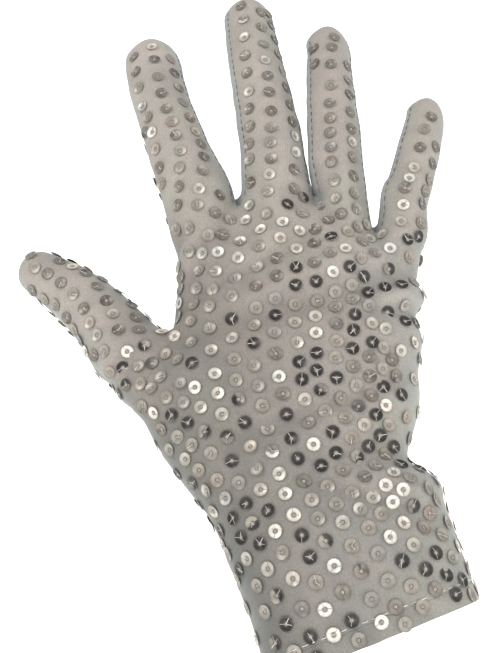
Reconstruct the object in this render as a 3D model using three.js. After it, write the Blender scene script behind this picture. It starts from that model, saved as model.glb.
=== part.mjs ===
// A knitted dress glove for a right hand, with its fingers spread, as it stands when it is worn.
// It is a hollow shell of thin cloth panels that meet at narrow seams.
//
// Millimetres. The origin is the centre of the wrist opening. +x points to the little finger,
// +y to the palm side and +z to the fingertips, so the back of the hand faces -y.
import * as THREE from "three";

const WALL = 1.0; // one layer of knitted cloth
const HEM_WALL = 2.0; // the hem at the wrist is the cloth turned in once
const SEAM_GAP = 0.3; // between pieces that are sewn to each other

const SEAM_ANGLE = 30; // degrees from a section's widest line to the edge of its front or back
const HAND_SQUARENESS = 2.5; // exponent of the hand's oval sections: 2 is an ellipse
const FIT_ROUNDS = 12; // tries at passing the smooth surface through the net's points
const FINGER_ROWS = 6; // rings of a finger below its dome
const THUMB_ROWS = 6;
const DOME_RING = 0.55; // how far up a fingertip's dome its one ring lies

// Sections of the hand, from the hem to the knuckles. Each runs from its thumb-side edge (leftX,
// leftZ) to its little-finger edge (rightX, rightZ), and bulges by back and palm from that line.
// knuckle is how far the section takes the shape of the knuckle line, from 0 to 1.
const HAND_SECTIONS = [
  { leftX: -35.6, leftZ: -6.1, rightX: 33.9, rightZ: 6.1, back: 20.5, palm: 20.5, knuckle: 0 },
  { leftX: -36.2, leftZ: -0.5, rightX: 33.3, rightZ: 11.6, back: 21.0, palm: 21.0, knuckle: 0 },
  { leftX: -37.4, leftZ: 10.4, rightX: 32.7, rightZ: 19.9, back: 22.0, palm: 21.5, knuckle: 0 },
  { leftX: -39.2, leftZ: 21.4, rightX: 31.9, rightZ: 29.4, back: 22.5, palm: 21.5, knuckle: 0 },
  { leftX: -41.6, leftZ: 31.9, rightX: 30.8, rightZ: 37.9, back: 22.5, palm: 21.0, knuckle: 0 },
  { leftX: -43.2, leftZ: 41.4, rightX: 31.1, rightZ: 44.9, back: 21.5, palm: 20.5, knuckle: 0 },
  { leftX: -46.6, leftZ: 50.4, rightX: 24.9, rightZ: 51.9, back: 19.0, palm: 19.0, knuckle: 0 },
  { leftX: -51.6, leftZ: 59.9, rightX: 26.4, rightZ: 60.4, back: 18.5, palm: 19.5, knuckle: 0 },
  { leftX: -56.6, leftZ: 70.4, rightX: 30.8, rightZ: 70.4, back: 18.0, palm: 20.5, knuckle: 0 },
  { leftX: -60.4, leftZ: 80.4, rightX: 32.8, rightZ: 80.9, back: 17.5, palm: 21.0, knuckle: 0 },
  { leftX: -65.0, leftZ: 89.4, rightX: 36.6, rightZ: 91.4, back: 16.5, palm: 20.5, knuckle: 0 },
  { leftX: -57.0, leftZ: 102.4, rightX: 38.7, rightZ: 101.4, back: 15.5, palm: 18.5, knuckle: 0 },
  { leftX: -46.8, leftZ: 113.9, rightX: 41.5, rightZ: 109.4, back: 15.0, palm: 16.5, knuckle: 0.1 },
  { leftX: -42.6, leftZ: 125.4, rightX: 43.2, rightZ: 117.4, back: 14.5, palm: 15.0, knuckle: 0.35 },
  { leftX: -40.6, leftZ: 137.4, rightX: 46.0, rightZ: 124.9, back: 13.5, palm: 13.5, knuckle: 0.7 },
];
const HEM_ROWS = 1; // the first row of sections is the hem

// The knuckle line: the outer edges and the three forks between the fingers. backZ and palmZ are
// the fork's height on each side of the hand, and depth is how far it stands off the middle plane.
const FORKS = [
  { x: -39.2, backZ: 148.4, palmZ: 148.4, depth: 5.6 },
  { x: -14.4, backZ: 153.9, palmZ: 161.9, depth: 4.6 },
  { x: 13.0, backZ: 150.4, palmZ: 159.9, depth: 4.4 },
  { x: 31.2, backZ: 132.9, palmZ: 139.9, depth: 4.2 },
  { x: 47.8, backZ: 130.9, palmZ: 130.9, depth: 4.4 },
];
const EDGE_BULGE = 1.8; // the outer fingers' roots between their seams
const KNUCKLE_BLEND = 2.5; // how late the valleys between the knuckles begin
const KNUCKLE_RISE = 2.0; // the middle of a finger's root over the line between its forks

// Sections of each finger from root to tip: the centre (x, y, z), half its width and half its
// depth. The last row is the top of the dome.
const FINGERS = [
  {
    name: "index",
    root: 11.5,
    sections: [
      { x: -28.9, y: 0.0, z: 164.4, width: 12.9, depth: 10.8 },
      { x: -31.7, y: 0.5, z: 179.4, width: 11.8, depth: 10.3 },
      { x: -34.3, y: 2.0, z: 196.9, width: 10.9, depth: 9.9 },
      { x: -36.3, y: 4.5, z: 212.9, width: 10.8, depth: 9.7 },
      { x: -36.8, y: 7.5, z: 227.9, width: 10.9, depth: 9.2 },
      { x: -36.3, y: 10.0, z: 242.6, width: 0, depth: 0 },
    ],
  },
  {
    name: "middle",
    root: 11.5,
    sections: [
      { x: 1.1, y: -0.5, z: 169.4, width: 12.0, depth: 10.8 },
      { x: 2.4, y: 0.0, z: 185.4, width: 11.5, depth: 10.3 },
      { x: 3.0, y: 1.5, z: 204.4, width: 10.9, depth: 9.9 },
      { x: 3.5, y: 4.0, z: 222.4, width: 10.2, depth: 9.4 },
      { x: 4.5, y: 7.0, z: 238.9, width: 9.7, depth: 8.9 },
      { x: 5.5, y: 9.5, z: 251.6, width: 0, depth: 0 },
    ],
  },
  {
    name: "ring",
    root: 10.5,
    sections: [
      { x: 23.4, y: 0.0, z: 162.4, width: 10.0, depth: 9.8 },
      { x: 26.2, y: 0.5, z: 179.4, width: 9.9, depth: 9.2 },
      { x: 28.7, y: 2.0, z: 195.9, width: 9.1, depth: 8.8 },
      { x: 31.4, y: 4.5, z: 210.4, width: 8.7, depth: 8.4 },
      { x: 33.0, y: 6.5, z: 219.9, width: 8.3, depth: 8.0 },
      { x: 33.6, y: 8.5, z: 230.6, width: 0, depth: 0 },
    ],
  },
  {
    name: "little",
    root: 9.0,
    sections: [
      { x: 44.8, y: 0.5, z: 145.4, width: 8.6, depth: 8.0 },
      { x: 49.2, y: 1.0, z: 153.4, width: 8.0, depth: 7.6 },
      { x: 54.4, y: 2.0, z: 163.4, width: 7.8, depth: 7.3 },
      { x: 58.8, y: 3.5, z: 172.4, width: 7.6, depth: 7.1 },
      { x: 61.8, y: 5.0, z: 179.4, width: 7.1, depth: 6.7 },
      { x: 64.2, y: 6.0, z: 188.8, width: 0, depth: 0 },
    ],
  },
];
// Where the seams run round a finger, in degrees: 90 is the middle of its back, 180 the thumb side.
const FINGER_SEAMS = { backLeft: 148, backRight: 8, palmRight: -40, palmLeft: -150 };

// The thumb is sewn into a hole at the hand's thumb-side edge, two rows high and two columns wide.
const THUMB_HOLE_ROW = 10;
const THUMB_SECTIONS = [
  { x: -62.6, y: 4.0, z: 109.7, width: 13.6, depth: 12.8 },
  { x: -69.5, y: 5.5, z: 122.4, width: 12.0, depth: 11.2 },
  { x: -76.6, y: 7.0, z: 133.6, width: 11.2, depth: 10.2 },
  { x: -84.1, y: 8.5, z: 143.3, width: 10.4, depth: 9.5 },
  { x: -90.7, y: 9.0, z: 150.6, width: 9.3, depth: 8.6 },
  { x: -96.6, y: 9.5, z: 157.2, width: 0, depth: 0 },
];

// Folds of the cloth on the back of the hand: a ridge or, with a negative lift, a valley along a
// line that fades towards its second end. spread is the half width of its bell-shaped profile.
const FOLDS = [
  { fromX: 46, fromZ: 110.4, toX: 8, toZ: 107.4, spread: 4.0, lift: 1.8 }, // under the little finger
  { fromX: 46, fromZ: 117.4, toX: 4, toZ: 115.4, spread: 3.5, lift: -1.6 },
  { fromX: 30, fromZ: 52.4, toX: -14, toZ: 58.4, spread: 4.0, lift: -1.8 }, // across the wrist
  { fromX: 34, fromZ: 44.4, toX: -8, toZ: 48.4, spread: 5.0, lift: 1.4 },
  { fromX: -78, fromZ: 97.4, toX: -50, toZ: 105.4, spread: 4.0, lift: -1.8 }, // at the thumb's root
  { fromX: -72, fromZ: 89.4, toX: -48, toZ: 94.4, spread: 4.0, lift: 1.4 },
  { fromX: -36, fromZ: 139.4, toX: -46, toZ: 117.4, spread: 3.5, lift: 1.4 }, // below the index finger
  { fromX: 14, fromZ: 153.4, toX: 22, toZ: 129.4, spread: 3.5, lift: -1.6 }, // below the third finger
  { fromX: 2, fromZ: 85.4, toX: 34, toZ: 67.4, spread: 6.0, lift: 1.4 }, // across the middle
];

const CLOTH = { color: 0xb1aaa3, roughness: 0.9, metalness: 0 };
const SIDE_CLOTH = { color: 0xaeb0b0, roughness: 0.85, metalness: 0 };

const radians = THREE.MathUtils.degToRad;
const mix = (a, b, share) => a + (b - a) * share;
const between = (low, high, count) =>
  Array.from({ length: count }, (_, i) => mix(low, high, i / (count - 1)));

// A section's outline on one side of the hand, from its thumb-side edge to the other edge.
// Flattened circle: x and depth are powers of a cosine and a sine.
class SectionSide extends THREE.Curve {
  constructor(section, depth) {
    super();
    this.left = new THREE.Vector3(section.leftX, 0, section.leftZ);
    this.right = new THREE.Vector3(section.rightX, 0, section.rightZ);
    this.depth = depth;
  }

  getPoint(t, target = new THREE.Vector3()) {
    const angle = mix(radians(SEAM_ANGLE), Math.PI - radians(SEAM_ANGLE), t);
    const power = 2 / HAND_SQUARENESS;
    const across = Math.sign(Math.cos(angle)) * Math.abs(Math.cos(angle)) ** power;
    target.lerpVectors(this.left, this.right, 0.5 - across / 2);
    target.y = this.depth * Math.sin(angle) ** power;
    return target;
  }
}

// The knuckle line on one side, as the fingers' roots side by side: three points to a finger.
function knuckleLine(side) {
  const fork = (f) => new THREE.Vector3(f.x, side * f.depth, side < 0 ? f.backZ : f.palmZ);
  const line = [fork(FORKS[0])];
  FINGERS.forEach((finger, i) => {
    const middle = fork(FORKS[i]).lerp(fork(FORKS[i + 1]), 0.5);
    middle.y = side * finger.root;
    middle.z += KNUCKLE_RISE;
    line.push(middle, fork(FORKS[i + 1]));
  });
  return line;
}

// The share of a section's width at each of the knuckle line's points.
function columnShares() {
  const line = knuckleLine(-1).map((p) => new THREE.Vector2(p.x, p.z));
  const reached = [0];
  for (let i = 1; i < line.length; i += 1) {
    reached.push(reached[i - 1] + line[i].distanceTo(line[i - 1]));
  }
  return reached.map((length) => length / reached.at(-1));
}

// One closed row of the hand's points: the back from the thumb side, the little finger's edge,
// the palm side back, and the thumb's edge.
function handRow(section) {
  const sides = [-1, 1].map((side) => {
    const outline = new SectionSide(section, side * (side < 0 ? section.back : section.palm));
    const line = knuckleLine(side);
    return columnShares().map((share, i) => {
      const point = outline.getPointAt(share);
      const straight = line[0].clone().lerp(line.at(-1), share);
      const bend = line[i].clone().sub(straight).multiplyScalar(section.knuckle);
      point.x += bend.x;
      point.z += bend.z;
      point.y = mix(point.y, line[i].y, section.knuckle ** KNUCKLE_BLEND);
      return point;
    });
  });
  const edges = [
    new THREE.Vector3(section.leftX, 0, section.leftZ),
    new THREE.Vector3(section.rightX, 0, section.rightZ),
  ];
  return [...sides[0], edges[1], ...sides[1].reverse(), edges[0]];
}

// The points halfway through the hand at its outer edges and at the forks.
function forkMiddles() {
  return FORKS.map((fork, i) => {
    const outwards = i === 0 ? -1 : Number(i === FORKS.length - 1);
    return new THREE.Vector3(fork.x + outwards * EDGE_BULGE, 0, (fork.backZ + fork.palmZ) / 2);
  });
}

// A smooth run of sections through a table: the centre line, and the half width and depth.
class Tube {
  constructor(sections) {
    const curve = (points) => new THREE.CatmullRomCurve3(points, false, "centripetal");
    this.last = sections.length - 1;
    this.centre = curve(sections.map((s) => new THREE.Vector3(s.x, s.y, s.z)));
    this.sections = sections;
  }

  // The ring at place 0 to last - 1 of the table, or on the dome above it up to last.
  ring(place, angles) {
    const body = Math.min(place, this.last - 1);
    const row = Math.min(Math.floor(body), this.last - 2);
    const [below, above] = this.sections.slice(row, row + 2);
    const share = body - row;
    const dome = Math.sqrt(1 - (place - body) ** 2);
    const width = mix(below.width, above.width, share) * dome;
    const depth = mix(below.depth, above.depth, share) * dome;
    const centre = this.centre.getPoint(place / this.last);
    const along = this.centre.getTangent(place / this.last);
    const across = new THREE.Vector3(0, 1, 0).cross(along).normalize();
    const inward = along.clone().cross(across).normalize();
    return angles.map((angle) =>
      centre
        .clone()
        .addScaledVector(across, width * Math.cos(radians(angle)))
        .addScaledVector(inward, -depth * Math.sin(radians(angle))),
    );
  }
}

// A net of four-sided meshes: shared points, and patches that are grids of point numbers.
class Net {
  constructor() {
    this.points = [];
    this.patches = [];
  }

  add(point) {
    this.points.push(point);
    return this.points.length - 1;
  }

  addRow(points) {
    return points.map((p) => this.add(p));
  }

  // rows of point numbers. pieceOf says which piece a cell is of, from its place in the patch.
  addPatch(rows, pieceOf) {
    this.patches.push({ rows, pieceOf, rowCells: rows.length - 1, columnCells: rows[0].length - 1 });
  }

  // All cells as four point numbers and a piece. pieceOf gets places in the first net's cells.
  cells() {
    return this.patches.flatMap((patch) => {
      const found = [];
      const perRow = (patch.rows.length - 1) / patch.rowCells;
      const perColumn = (patch.rows[0].length - 1) / patch.columnCells;
      for (let r = 0; r + 1 < patch.rows.length; r += 1) {
        for (let c = 0; c + 1 < patch.rows[r].length; c += 1) {
          const piece = patch.pieceOf((r + 0.5) / perRow, (c + 0.5) / perColumn);
          const corners = [
            patch.rows[r][c],
            patch.rows[r][c + 1],
            patch.rows[r + 1][c + 1],
            patch.rows[r + 1][c],
          ];
          if (piece) found.push({ corners, piece });
        }
      }
      return found;
    });
  }

  // Each side of a cell once, with the cells that share it.
  edges(cells) {
    const found = new Map();
    cells.forEach((cell, number) => {
      cell.corners.forEach((a, i) => {
        const b = cell.corners[(i + 1) % 4];
        const key = Math.min(a, b) + "," + Math.max(a, b);
        if (!found.has(key)) found.set(key, { ends: [a, b], cells: [] });
        found.get(key).cells.push(number);
      });
    });
    return found;
  }

  // Where each point lies on the smooth surface that the net stands for (Catmull-Clark's limit).
  limit() {
    const zero = () => this.points.map(() => new THREE.Vector3());
    const [beside, opposite, rim] = [zero(), zero(), zero()];
    const count = this.points.map(() => 0);
    const rimCount = this.points.map(() => 0);
    const cells = this.cells();
    for (const { corners } of cells) {
      corners.forEach((a, i) => {
        beside[a].add(this.points[corners[(i + 1) % 4]]).add(this.points[corners[(i + 3) % 4]]);
        opposite[a].add(this.points[corners[(i + 2) % 4]]);
        count[a] += 1;
      });
    }
    for (const { ends, cells: sharing } of this.edges(cells).values()) {
      if (sharing.length === 2) continue;
      ends.forEach((a, i) => {
        rim[a].add(this.points[ends[1 - i]]);
        rimCount[a] += 1;
      });
    }
    return this.points.map((p, i) => {
      const n = count[i];
      if (!n) return p.clone();
      if (rimCount[i]) return p.clone().multiplyScalar(4).add(rim[i]).divideScalar(6);
      return p
        .clone()
        .multiplyScalar(n * n)
        .addScaledVector(beside[i], 2)
        .add(opposite[i])
        .divideScalar(n * (n + 5));
    });
  }

  // Moves the points until the smooth surface passes through where they stood.
  fit() {
    const wanted = this.points.map((p) => p.clone());
    for (let round = 0; round < FIT_ROUNDS; round += 1) {
      const reached = this.limit();
      this.points.forEach((p, i) => p.add(wanted[i]).sub(reached[i]));
    }
  }

  // Catmull-Clark's step: each cell becomes four.
  refine() {
    const old = this.points;
    const cells = this.cells();
    const edges = this.edges(cells);
    const average = (points) =>
      points.reduce((sum, p) => sum.add(p), new THREE.Vector3()).divideScalar(points.length);
    const facePoints = cells.map((cell) => average(cell.corners.map((c) => old[c])));
    const faces = old.map(() => []);
    const middles = old.map(() => []);
    const rims = old.map(() => []);
    cells.forEach((cell, i) => cell.corners.forEach((c) => faces[c].push(facePoints[i])));

    const next = new Net();
    old.forEach((p) => next.add(p));
    const edgeNumber = new Map();
    for (const [key, { ends, cells: sharing }] of edges) {
      const middle = average(ends.map((e) => old[e]));
      const inner = sharing.length === 2;
      const made = inner ? average(sharing.map((s) => facePoints[s])).lerp(middle, 0.5) : middle;
      edgeNumber.set(key, next.add(made));
      ends.forEach((e) => (inner ? middles : rims)[e].push(middle));
    }
    const faceNumber = new Map();
    cells.forEach((cell, i) => faceNumber.set(cell.corners.join(), next.add(facePoints[i])));
    old.forEach((p, i) => {
      const n = faces[i].length;
      if (!n) return;
      next.points[i] = rims[i].length
        ? average(rims[i]).lerp(p, 0.5)
        : average(faces[i])
            .addScaledVector(average(middles[i]), 2)
            .addScaledVector(p, n - 3)
            .divideScalar(n);
    });

    const onEdge = (a, b) => edgeNumber.get(Math.min(a, b) + "," + Math.max(a, b));
    for (const patch of this.patches) {
      const { rows, pieceOf, rowCells, columnCells } = patch;
      const finer = [];
      rows.forEach((row, r) => {
        finer.push(row.flatMap((a, c) => (c ? [onEdge(row[c - 1], a), a] : [a])));
        if (r + 1 === rows.length) return;
        const above = rows[r + 1];
        finer.push(
          row.flatMap((a, c) => {
            const onColumn = onEdge(a, above[c]);
            if (!c) return [onColumn];
            return [faceNumber.get([row[c - 1], a, above[c], above[c - 1]].join()), onColumn];
          }),
        );
      });
      next.patches.push({ rows: finer, pieceOf, rowCells, columnCells });
    }
    return next;
  }
}

// The point numbers of a finger's root, in the order of its rings.
function rootRing(knuckles, middles, finger) {
  const back = [0, 1, 2].map((i) => knuckles.back[2 * finger + i]);
  const palm = [2, 1, 0].map((i) => knuckles.palm[2 * finger + i]);
  return [...back, middles[finger + 1], ...palm, middles[finger]];
}

// The angles of a finger's eight columns: its seams and the middles between them.
function fingerAngles() {
  const { backLeft, backRight, palmRight, palmLeft } = FINGER_SEAMS;
  const seams = [backLeft, backRight, palmRight, palmLeft, backLeft - 360];
  return seams.slice(0, -1).flatMap((angle, i) => [angle, (angle + seams[i + 1]) / 2]);
}

// A finger: rings of eight points from its root, a dome and four cells that close it.
function addFinger(net, knuckles, middles, number) {
  const finger = FINGERS[number];
  const strip = (index) =>
    index < 0 || index > FINGERS.length - 2
      ? null
      : "fourchette_" + FINGERS[index].name + "_" + FINGERS[index + 1].name;
  const tube = new Tube(finger.sections);
  const rings = [rootRing(knuckles, middles, number)];
  const places = [...between(0, tube.last - 1, FINGER_ROWS), tube.last - 1 + DOME_RING];
  places.forEach((place) => rings.push(net.addRow(tube.ring(place, fingerAngles()))));

  // Columns: two on the back, two on the side, two on the palm side and two on the other side.
  const pieceOf = (row, column) => {
    if (column < 2) return "back_panel";
    if (column < 4) return strip(number) ?? (column < 3 ? "back_panel" : "palm_panel");
    if (column < 6) return "palm_panel";
    return strip(number - 1) ?? (column < 7 ? "palm_panel" : "back_panel");
  };
  net.addPatch(rings.map((ring) => [...ring, ring[0]]), pieceOf);
  closeTube(net, rings.at(-1), tube, (row) => (row < 1 ? "back_panel" : "palm_panel"));
}

// Four cells over a ring of eight points.
function closeTube(net, ring, tube, pieceOf) {
  const tip = net.add(tube.centre.getPoint(1));
  net.addPatch(
    [
      [ring[0], ring[1], ring[2]],
      [ring[7], tip, ring[3]],
      [ring[6], ring[5], ring[4]],
    ],
    pieceOf,
  );
}

// The thumb: rings of eight points that start at the edge of its hole.
function addThumb(net, handRows) {
  const low = THUMB_HOLE_ROW;
  const edge = handRows[0].length - 1; // the column at the hand's thumb-side edge
  const hole = [
    [low, 0],
    [low + 1, 0],
    [low + 2, 0],
    [low + 2, edge],
    [low + 2, edge - 1],
    [low + 1, edge - 1],
    [low, edge - 1],
    [low, edge],
  ].map(([row, column]) => handRows[row][column]);
  const angles = hole.map((_, i) => 135 - 45 * i);
  const tube = new Tube(THUMB_SECTIONS);
  const places = [...between(0, tube.last - 1, THUMB_ROWS), tube.last - 1 + DOME_RING];
  const rings = [hole];
  places.forEach((place) => rings.push(net.addRow(tube.ring(place, angles))));
  const piece = () => "thumb";
  net.addPatch(rings.map((ring) => [...ring, ring[0]]), piece);
  closeTube(net, rings.at(-1), tube, piece);
}

// The net of the whole glove, as its outer surface.
function gloveNet() {
  const net = new Net();
  const rows = HAND_SECTIONS.map((section) => net.addRow(handRow(section)));
  const middles = net.addRow(forkMiddles());
  const knuckles = { back: net.addRow(knuckleLine(-1)), palm: net.addRow(knuckleLine(1)) };
  rows.push([...knuckles.back, middles.at(-1), ...knuckles.palm.toReversed(), middles[0]]);
  const backColumns = 2 * FINGERS.length;
  const columns = rows[0].length;
  const pieceOf = (row, column) => {
    if (row < HEM_ROWS) return "cuff_hem";
    const inHole = row > THUMB_HOLE_ROW && row < THUMB_HOLE_ROW + 2;
    if (inHole && column > columns - 2) return null;
    return column < backColumns + 1 || column > columns - 1 ? "back_panel" : "palm_panel";
  };
  net.addPatch(rows.map((row) => [...row, row[0]]), pieceOf);
  FINGERS.forEach((_, number) => addFinger(net, knuckles, middles, number));
  addThumb(net, rows);
  return net;
}

// How far the folds lift the cloth at a point of the back.
function foldLift(point) {
  return FOLDS.reduce((sum, fold) => {
    const from = new THREE.Vector2(fold.fromX, fold.fromZ);
    const run = new THREE.Vector2(fold.toX, fold.toZ).sub(from);
    const here = new THREE.Vector2(point.x, point.z).sub(from);
    const along = THREE.MathUtils.clamp(here.dot(run) / run.lengthSq(), 0, 1);
    const away = here.addScaledVector(run, -along).length() / fold.spread;
    return sum + fold.lift * (1 - along ** 2) * Math.exp(-(away ** 2));
  }, 0);
}

// Draws the folds into the net's points.
function fold(net, cells) {
  const normals = normalsOf(net.points, cells);
  net.points.forEach((p, i) => {
    const onBack = THREE.MathUtils.smoothstep(-normals[i].y, -0.2, 0.5);
    p.addScaledVector(normals[i], foldLift(p) * onBack);
  });
}

// Unit normals at the points, from the cells round each.
function normalsOf(points, cells) {
  const normals = points.map(() => new THREE.Vector3());
  for (const { corners } of cells) {
    const [a, b, c, d] = corners.map((i) => points[i]);
    const facing = c.clone().sub(a).cross(d.clone().sub(b));
    corners.forEach((i) => normals[i].add(facing));
  }
  return normals.map((n) => n.normalize());
}

// One piece as a closed shell: its cells outside and inside, and a wall round its edges.
// The edges are drawn in, so that a seam's gap stays open to the next piece.
function shellGeometry(net, cells, normals, wall) {
  const rims = [...net.edges(cells).values()].filter((edge) => edge.cells.length === 1);
  const inwards = new Map();
  for (const { ends } of rims) {
    const run = net.points[ends[1]].clone().sub(net.points[ends[0]]);
    for (const i of ends) {
      const inward = normals[i].clone().cross(run).normalize();
      inwards.set(i, [...(inwards.get(i) ?? []), inward]);
    }
  }
  const outside = (i) => {
    const point = net.points[i].clone();
    if (!inwards.has(i)) return point;
    const [before, after] = inwards.get(i);
    const mitre = SEAM_GAP / 2 / (1 + before.dot(after));
    return point.addScaledVector(before, mitre).addScaledVector(after, mitre);
  };
  const inside = (i) => outside(i).addScaledVector(normals[i], -wall);
  const positions = [];
  const quad = (a, b, c, d) => [a, b, c, a, c, d].forEach((p) => positions.push(p.x, p.y, p.z));
  for (const { corners } of cells) {
    quad(...corners.map(outside));
    quad(...corners.map(inside).reverse());
  }
  // Both pieces at a seam split their walls along the same diagonal, so that twisted walls match.
  for (const { ends } of rims) {
    const [a, b] = ends;
    const wallCorners = [outside(b), outside(a), inside(a), inside(b)];
    if (a > b) wallCorners.push(wallCorners.shift());
    quad(...wallCorners);
  }
  const geometry = new THREE.BufferGeometry();
  geometry.setAttribute("position", new THREE.Float32BufferAttribute(positions, 3));
  geometry.computeVertexNormals();
  return geometry;
}

function glove() {
  const coarse = gloveNet();
  coarse.fit();
  const net = coarse.refine();
  net.points = net.limit();
  const cells = net.cells();
  fold(net, cells);
  const normals = normalsOf(net.points, cells);

  const group = new THREE.Group();
  const names = [...new Set(cells.map((cell) => cell.piece))];
  for (const name of names) {
    const own = cells.filter((cell) => cell.piece === name);
    const wall = name === "cuff_hem" ? HEM_WALL : WALL;
    const look = name.startsWith("fourchette") ? SIDE_CLOTH : CLOTH;
    const material = new THREE.MeshStandardMaterial(look);
    const mesh = new THREE.Mesh(shellGeometry(net, own, normals, wall), material);
    mesh.name = name;
    group.add(mesh);
  }
  return group;
}

export default glove();
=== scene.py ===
"""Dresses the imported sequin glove: knitted panels, cup sequins, threads, stitches and a pale studio.

The glove's cloth is rebuilt as one smooth surface through the same net of points as the solids,
finer and with small ripples, and cut into the same pieces. Every sequin, thread and stitch is laid
on that surface by its own place on it. Lengths are millimetres until a mesh is made in metres.
"""

import logging
import math
from collections.abc import Callable
from dataclasses import dataclass, field
from enum import Enum
from functools import cached_property

import bpy
import numpy as np
from mathutils import Matrix, Vector

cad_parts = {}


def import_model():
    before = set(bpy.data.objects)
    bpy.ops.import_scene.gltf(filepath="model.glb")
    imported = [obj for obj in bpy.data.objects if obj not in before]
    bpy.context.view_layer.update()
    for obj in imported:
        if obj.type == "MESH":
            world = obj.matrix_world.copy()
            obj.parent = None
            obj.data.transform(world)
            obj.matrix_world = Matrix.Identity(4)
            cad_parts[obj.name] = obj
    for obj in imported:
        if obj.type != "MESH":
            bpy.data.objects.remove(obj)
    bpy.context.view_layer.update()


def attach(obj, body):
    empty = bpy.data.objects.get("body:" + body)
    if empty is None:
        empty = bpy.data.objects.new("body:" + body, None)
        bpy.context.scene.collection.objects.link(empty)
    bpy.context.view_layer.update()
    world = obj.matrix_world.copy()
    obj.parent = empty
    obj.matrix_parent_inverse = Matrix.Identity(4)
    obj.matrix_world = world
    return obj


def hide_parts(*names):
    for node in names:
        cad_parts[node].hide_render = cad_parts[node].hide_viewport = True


# Short names for types.
Array = np.ndarray
Pair = tuple[np.ndarray, np.ndarray]
Triple = tuple[float, float, float]
Shares = tuple[float, float, float, float, float]
Places = tuple[tuple[float, float], ...]
Chance = np.random.Generator

LOG = logging.getLogger("sequin_glove")
MM = 0.001
SEED = 4117

# A length past any on the glove.
FAR = 1e6

# How far the last place on a grid lies before the number of its points: a thousandth of a step
# more than one, so that it is still in a cell.
GRID_END = 1.001

# Sections of the hand from the hem to the knuckles: thumb-side edge x and z, little-finger edge
# x and z, bulge of the back, bulge of the palm, share of the knuckle line's shape.
HAND_SECTIONS = np.array([
    (-35.6, -6.1, 33.9, 6.1, 20.5, 20.5, 0.0),
    (-36.2, -0.5, 33.3, 11.6, 21.0, 21.0, 0.0),
    (-37.4, 10.4, 32.7, 19.9, 22.0, 21.5, 0.0),
    (-39.2, 21.4, 31.9, 29.4, 22.5, 21.5, 0.0),
    (-41.6, 31.9, 30.8, 37.9, 22.5, 21.0, 0.0),
    (-43.2, 41.4, 29.8, 43.6, 21.5, 20.5, 0.0),
    (-46.6, 50.4, 24.9, 51.9, 19.0, 19.0, 0.0),
    (-51.6, 59.9, 26.4, 60.4, 18.5, 19.5, 0.0),
    (-56.6, 70.4, 30.8, 70.4, 18.0, 20.5, 0.0),
    (-60.4, 80.4, 32.8, 80.9, 17.5, 21.0, 0.0),
    (-65.0, 89.4, 36.6, 91.4, 16.5, 20.5, 0.0),
    (-57.0, 102.4, 38.7, 101.4, 15.5, 18.5, 0.0),
    (-46.8, 113.9, 41.5, 109.4, 15.0, 16.5, 0.1),
    (-42.6, 125.4, 43.2, 117.4, 14.5, 15.0, 0.35),
    (-40.6, 137.4, 46.0, 124.9, 13.5, 13.5, 0.7),
])

# The knuckle line: x, height on the back, height on the palm, distance from the middle plane.
FORKS = np.array([
    (-39.2, 148.4, 148.4, 5.6),
    (-14.4, 153.9, 161.9, 4.6),
    (13.0, 150.4, 159.9, 4.4),
    (31.2, 132.9, 139.9, 4.2),
    (47.8, 130.9, 130.9, 4.4),
])

# Folds of the back: a line from x, z to x, z that fades along its run, its spread and its lift. The lift
# also sets painted shade in the folds and painted light on their ridges.
FOLDS = np.array([
    (46, 107.6, 20, 107.0, 3.6, 2.2), (48, 114.4, 12, 110.5, 3.3, -1.9),
    (30, 52.4, -14, 58.4, 4.0, -1.6), (34, 44.4, -8, 48.4, 5.0, 1.4), (-78, 97.4, -50, 105.4, 4.0, -1.8),
    (-72, 89.4, -48, 94.4, 4.0, 1.4), (-36, 139.4, -46, 117.4, 3.5, 1.5), (13, 154, 17, 131, 2.2, -0.9),
    (2, 85.4, 34, 67.4, 6.0, 0.3), (44, 100.6, 5, 102.4, 2.6, -1.3), (38, 92, 24, 58, 5.0, 1.1),
    (32, 44, 6, 43, 4.0, 0.4), (-72, 104, -60, 95, 2.4, 1.0), (-64, 91, -50, 95, 2.4, -1.0),
    (-41, 133, -35, 141, 2.4, 1.0), (-38, 147, -45, 117, 2.2, -1.0), (-2, 72, 12, 59, 5.0, 0.6),
    (33, 141, 25, 128, 2.6, -1.0), (-48, 112, -34, 102, 3.0, -0.9), (-22.4, 145, -13, 164, 2.2, -0.8),
    (-26, 142.4, -46, 132, 2.4, -1.1), (-18, 125.6, 8, 131, 2.4, -1.2),
    (-22, 124.4, -50, 115, 2.4, -1.3), (15, 109.3, 40, 112, 4.5, -1.3),
    (8.5, 108.8, -54, 104, 4.5, -1.4), (26, 124, -8, 120, 4.5, 1.2), (-10, 116, -38, 112, 3.5, 0.9),
    (-6, 136, -34, 130, 5.0, 1.0), (8.4, 73.5, 34, 80, 3.0, -1.6), (3.6, 72.5, -42, 66, 3.0, -1.7),
    (10, 39, 30, 26, 3.0, -1.3), (6, 41.4, -16, 53, 3.0, -1.2), (-67, 103, -54, 112, 2.0, -1.4),
    (-61, 101, -52, 108, 2.2, 0.9),
])

# Where the cloth is loose: x, y, z and how far round it.
LOOSE = np.array([
    (20, -15, 50, 16), (10, -12, 140, 16), (-60, 0, 100, 14), (-30, -12, 135, 14),
    (38, -8, 112, 12), (0, -20, 0, 16),
])


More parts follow.
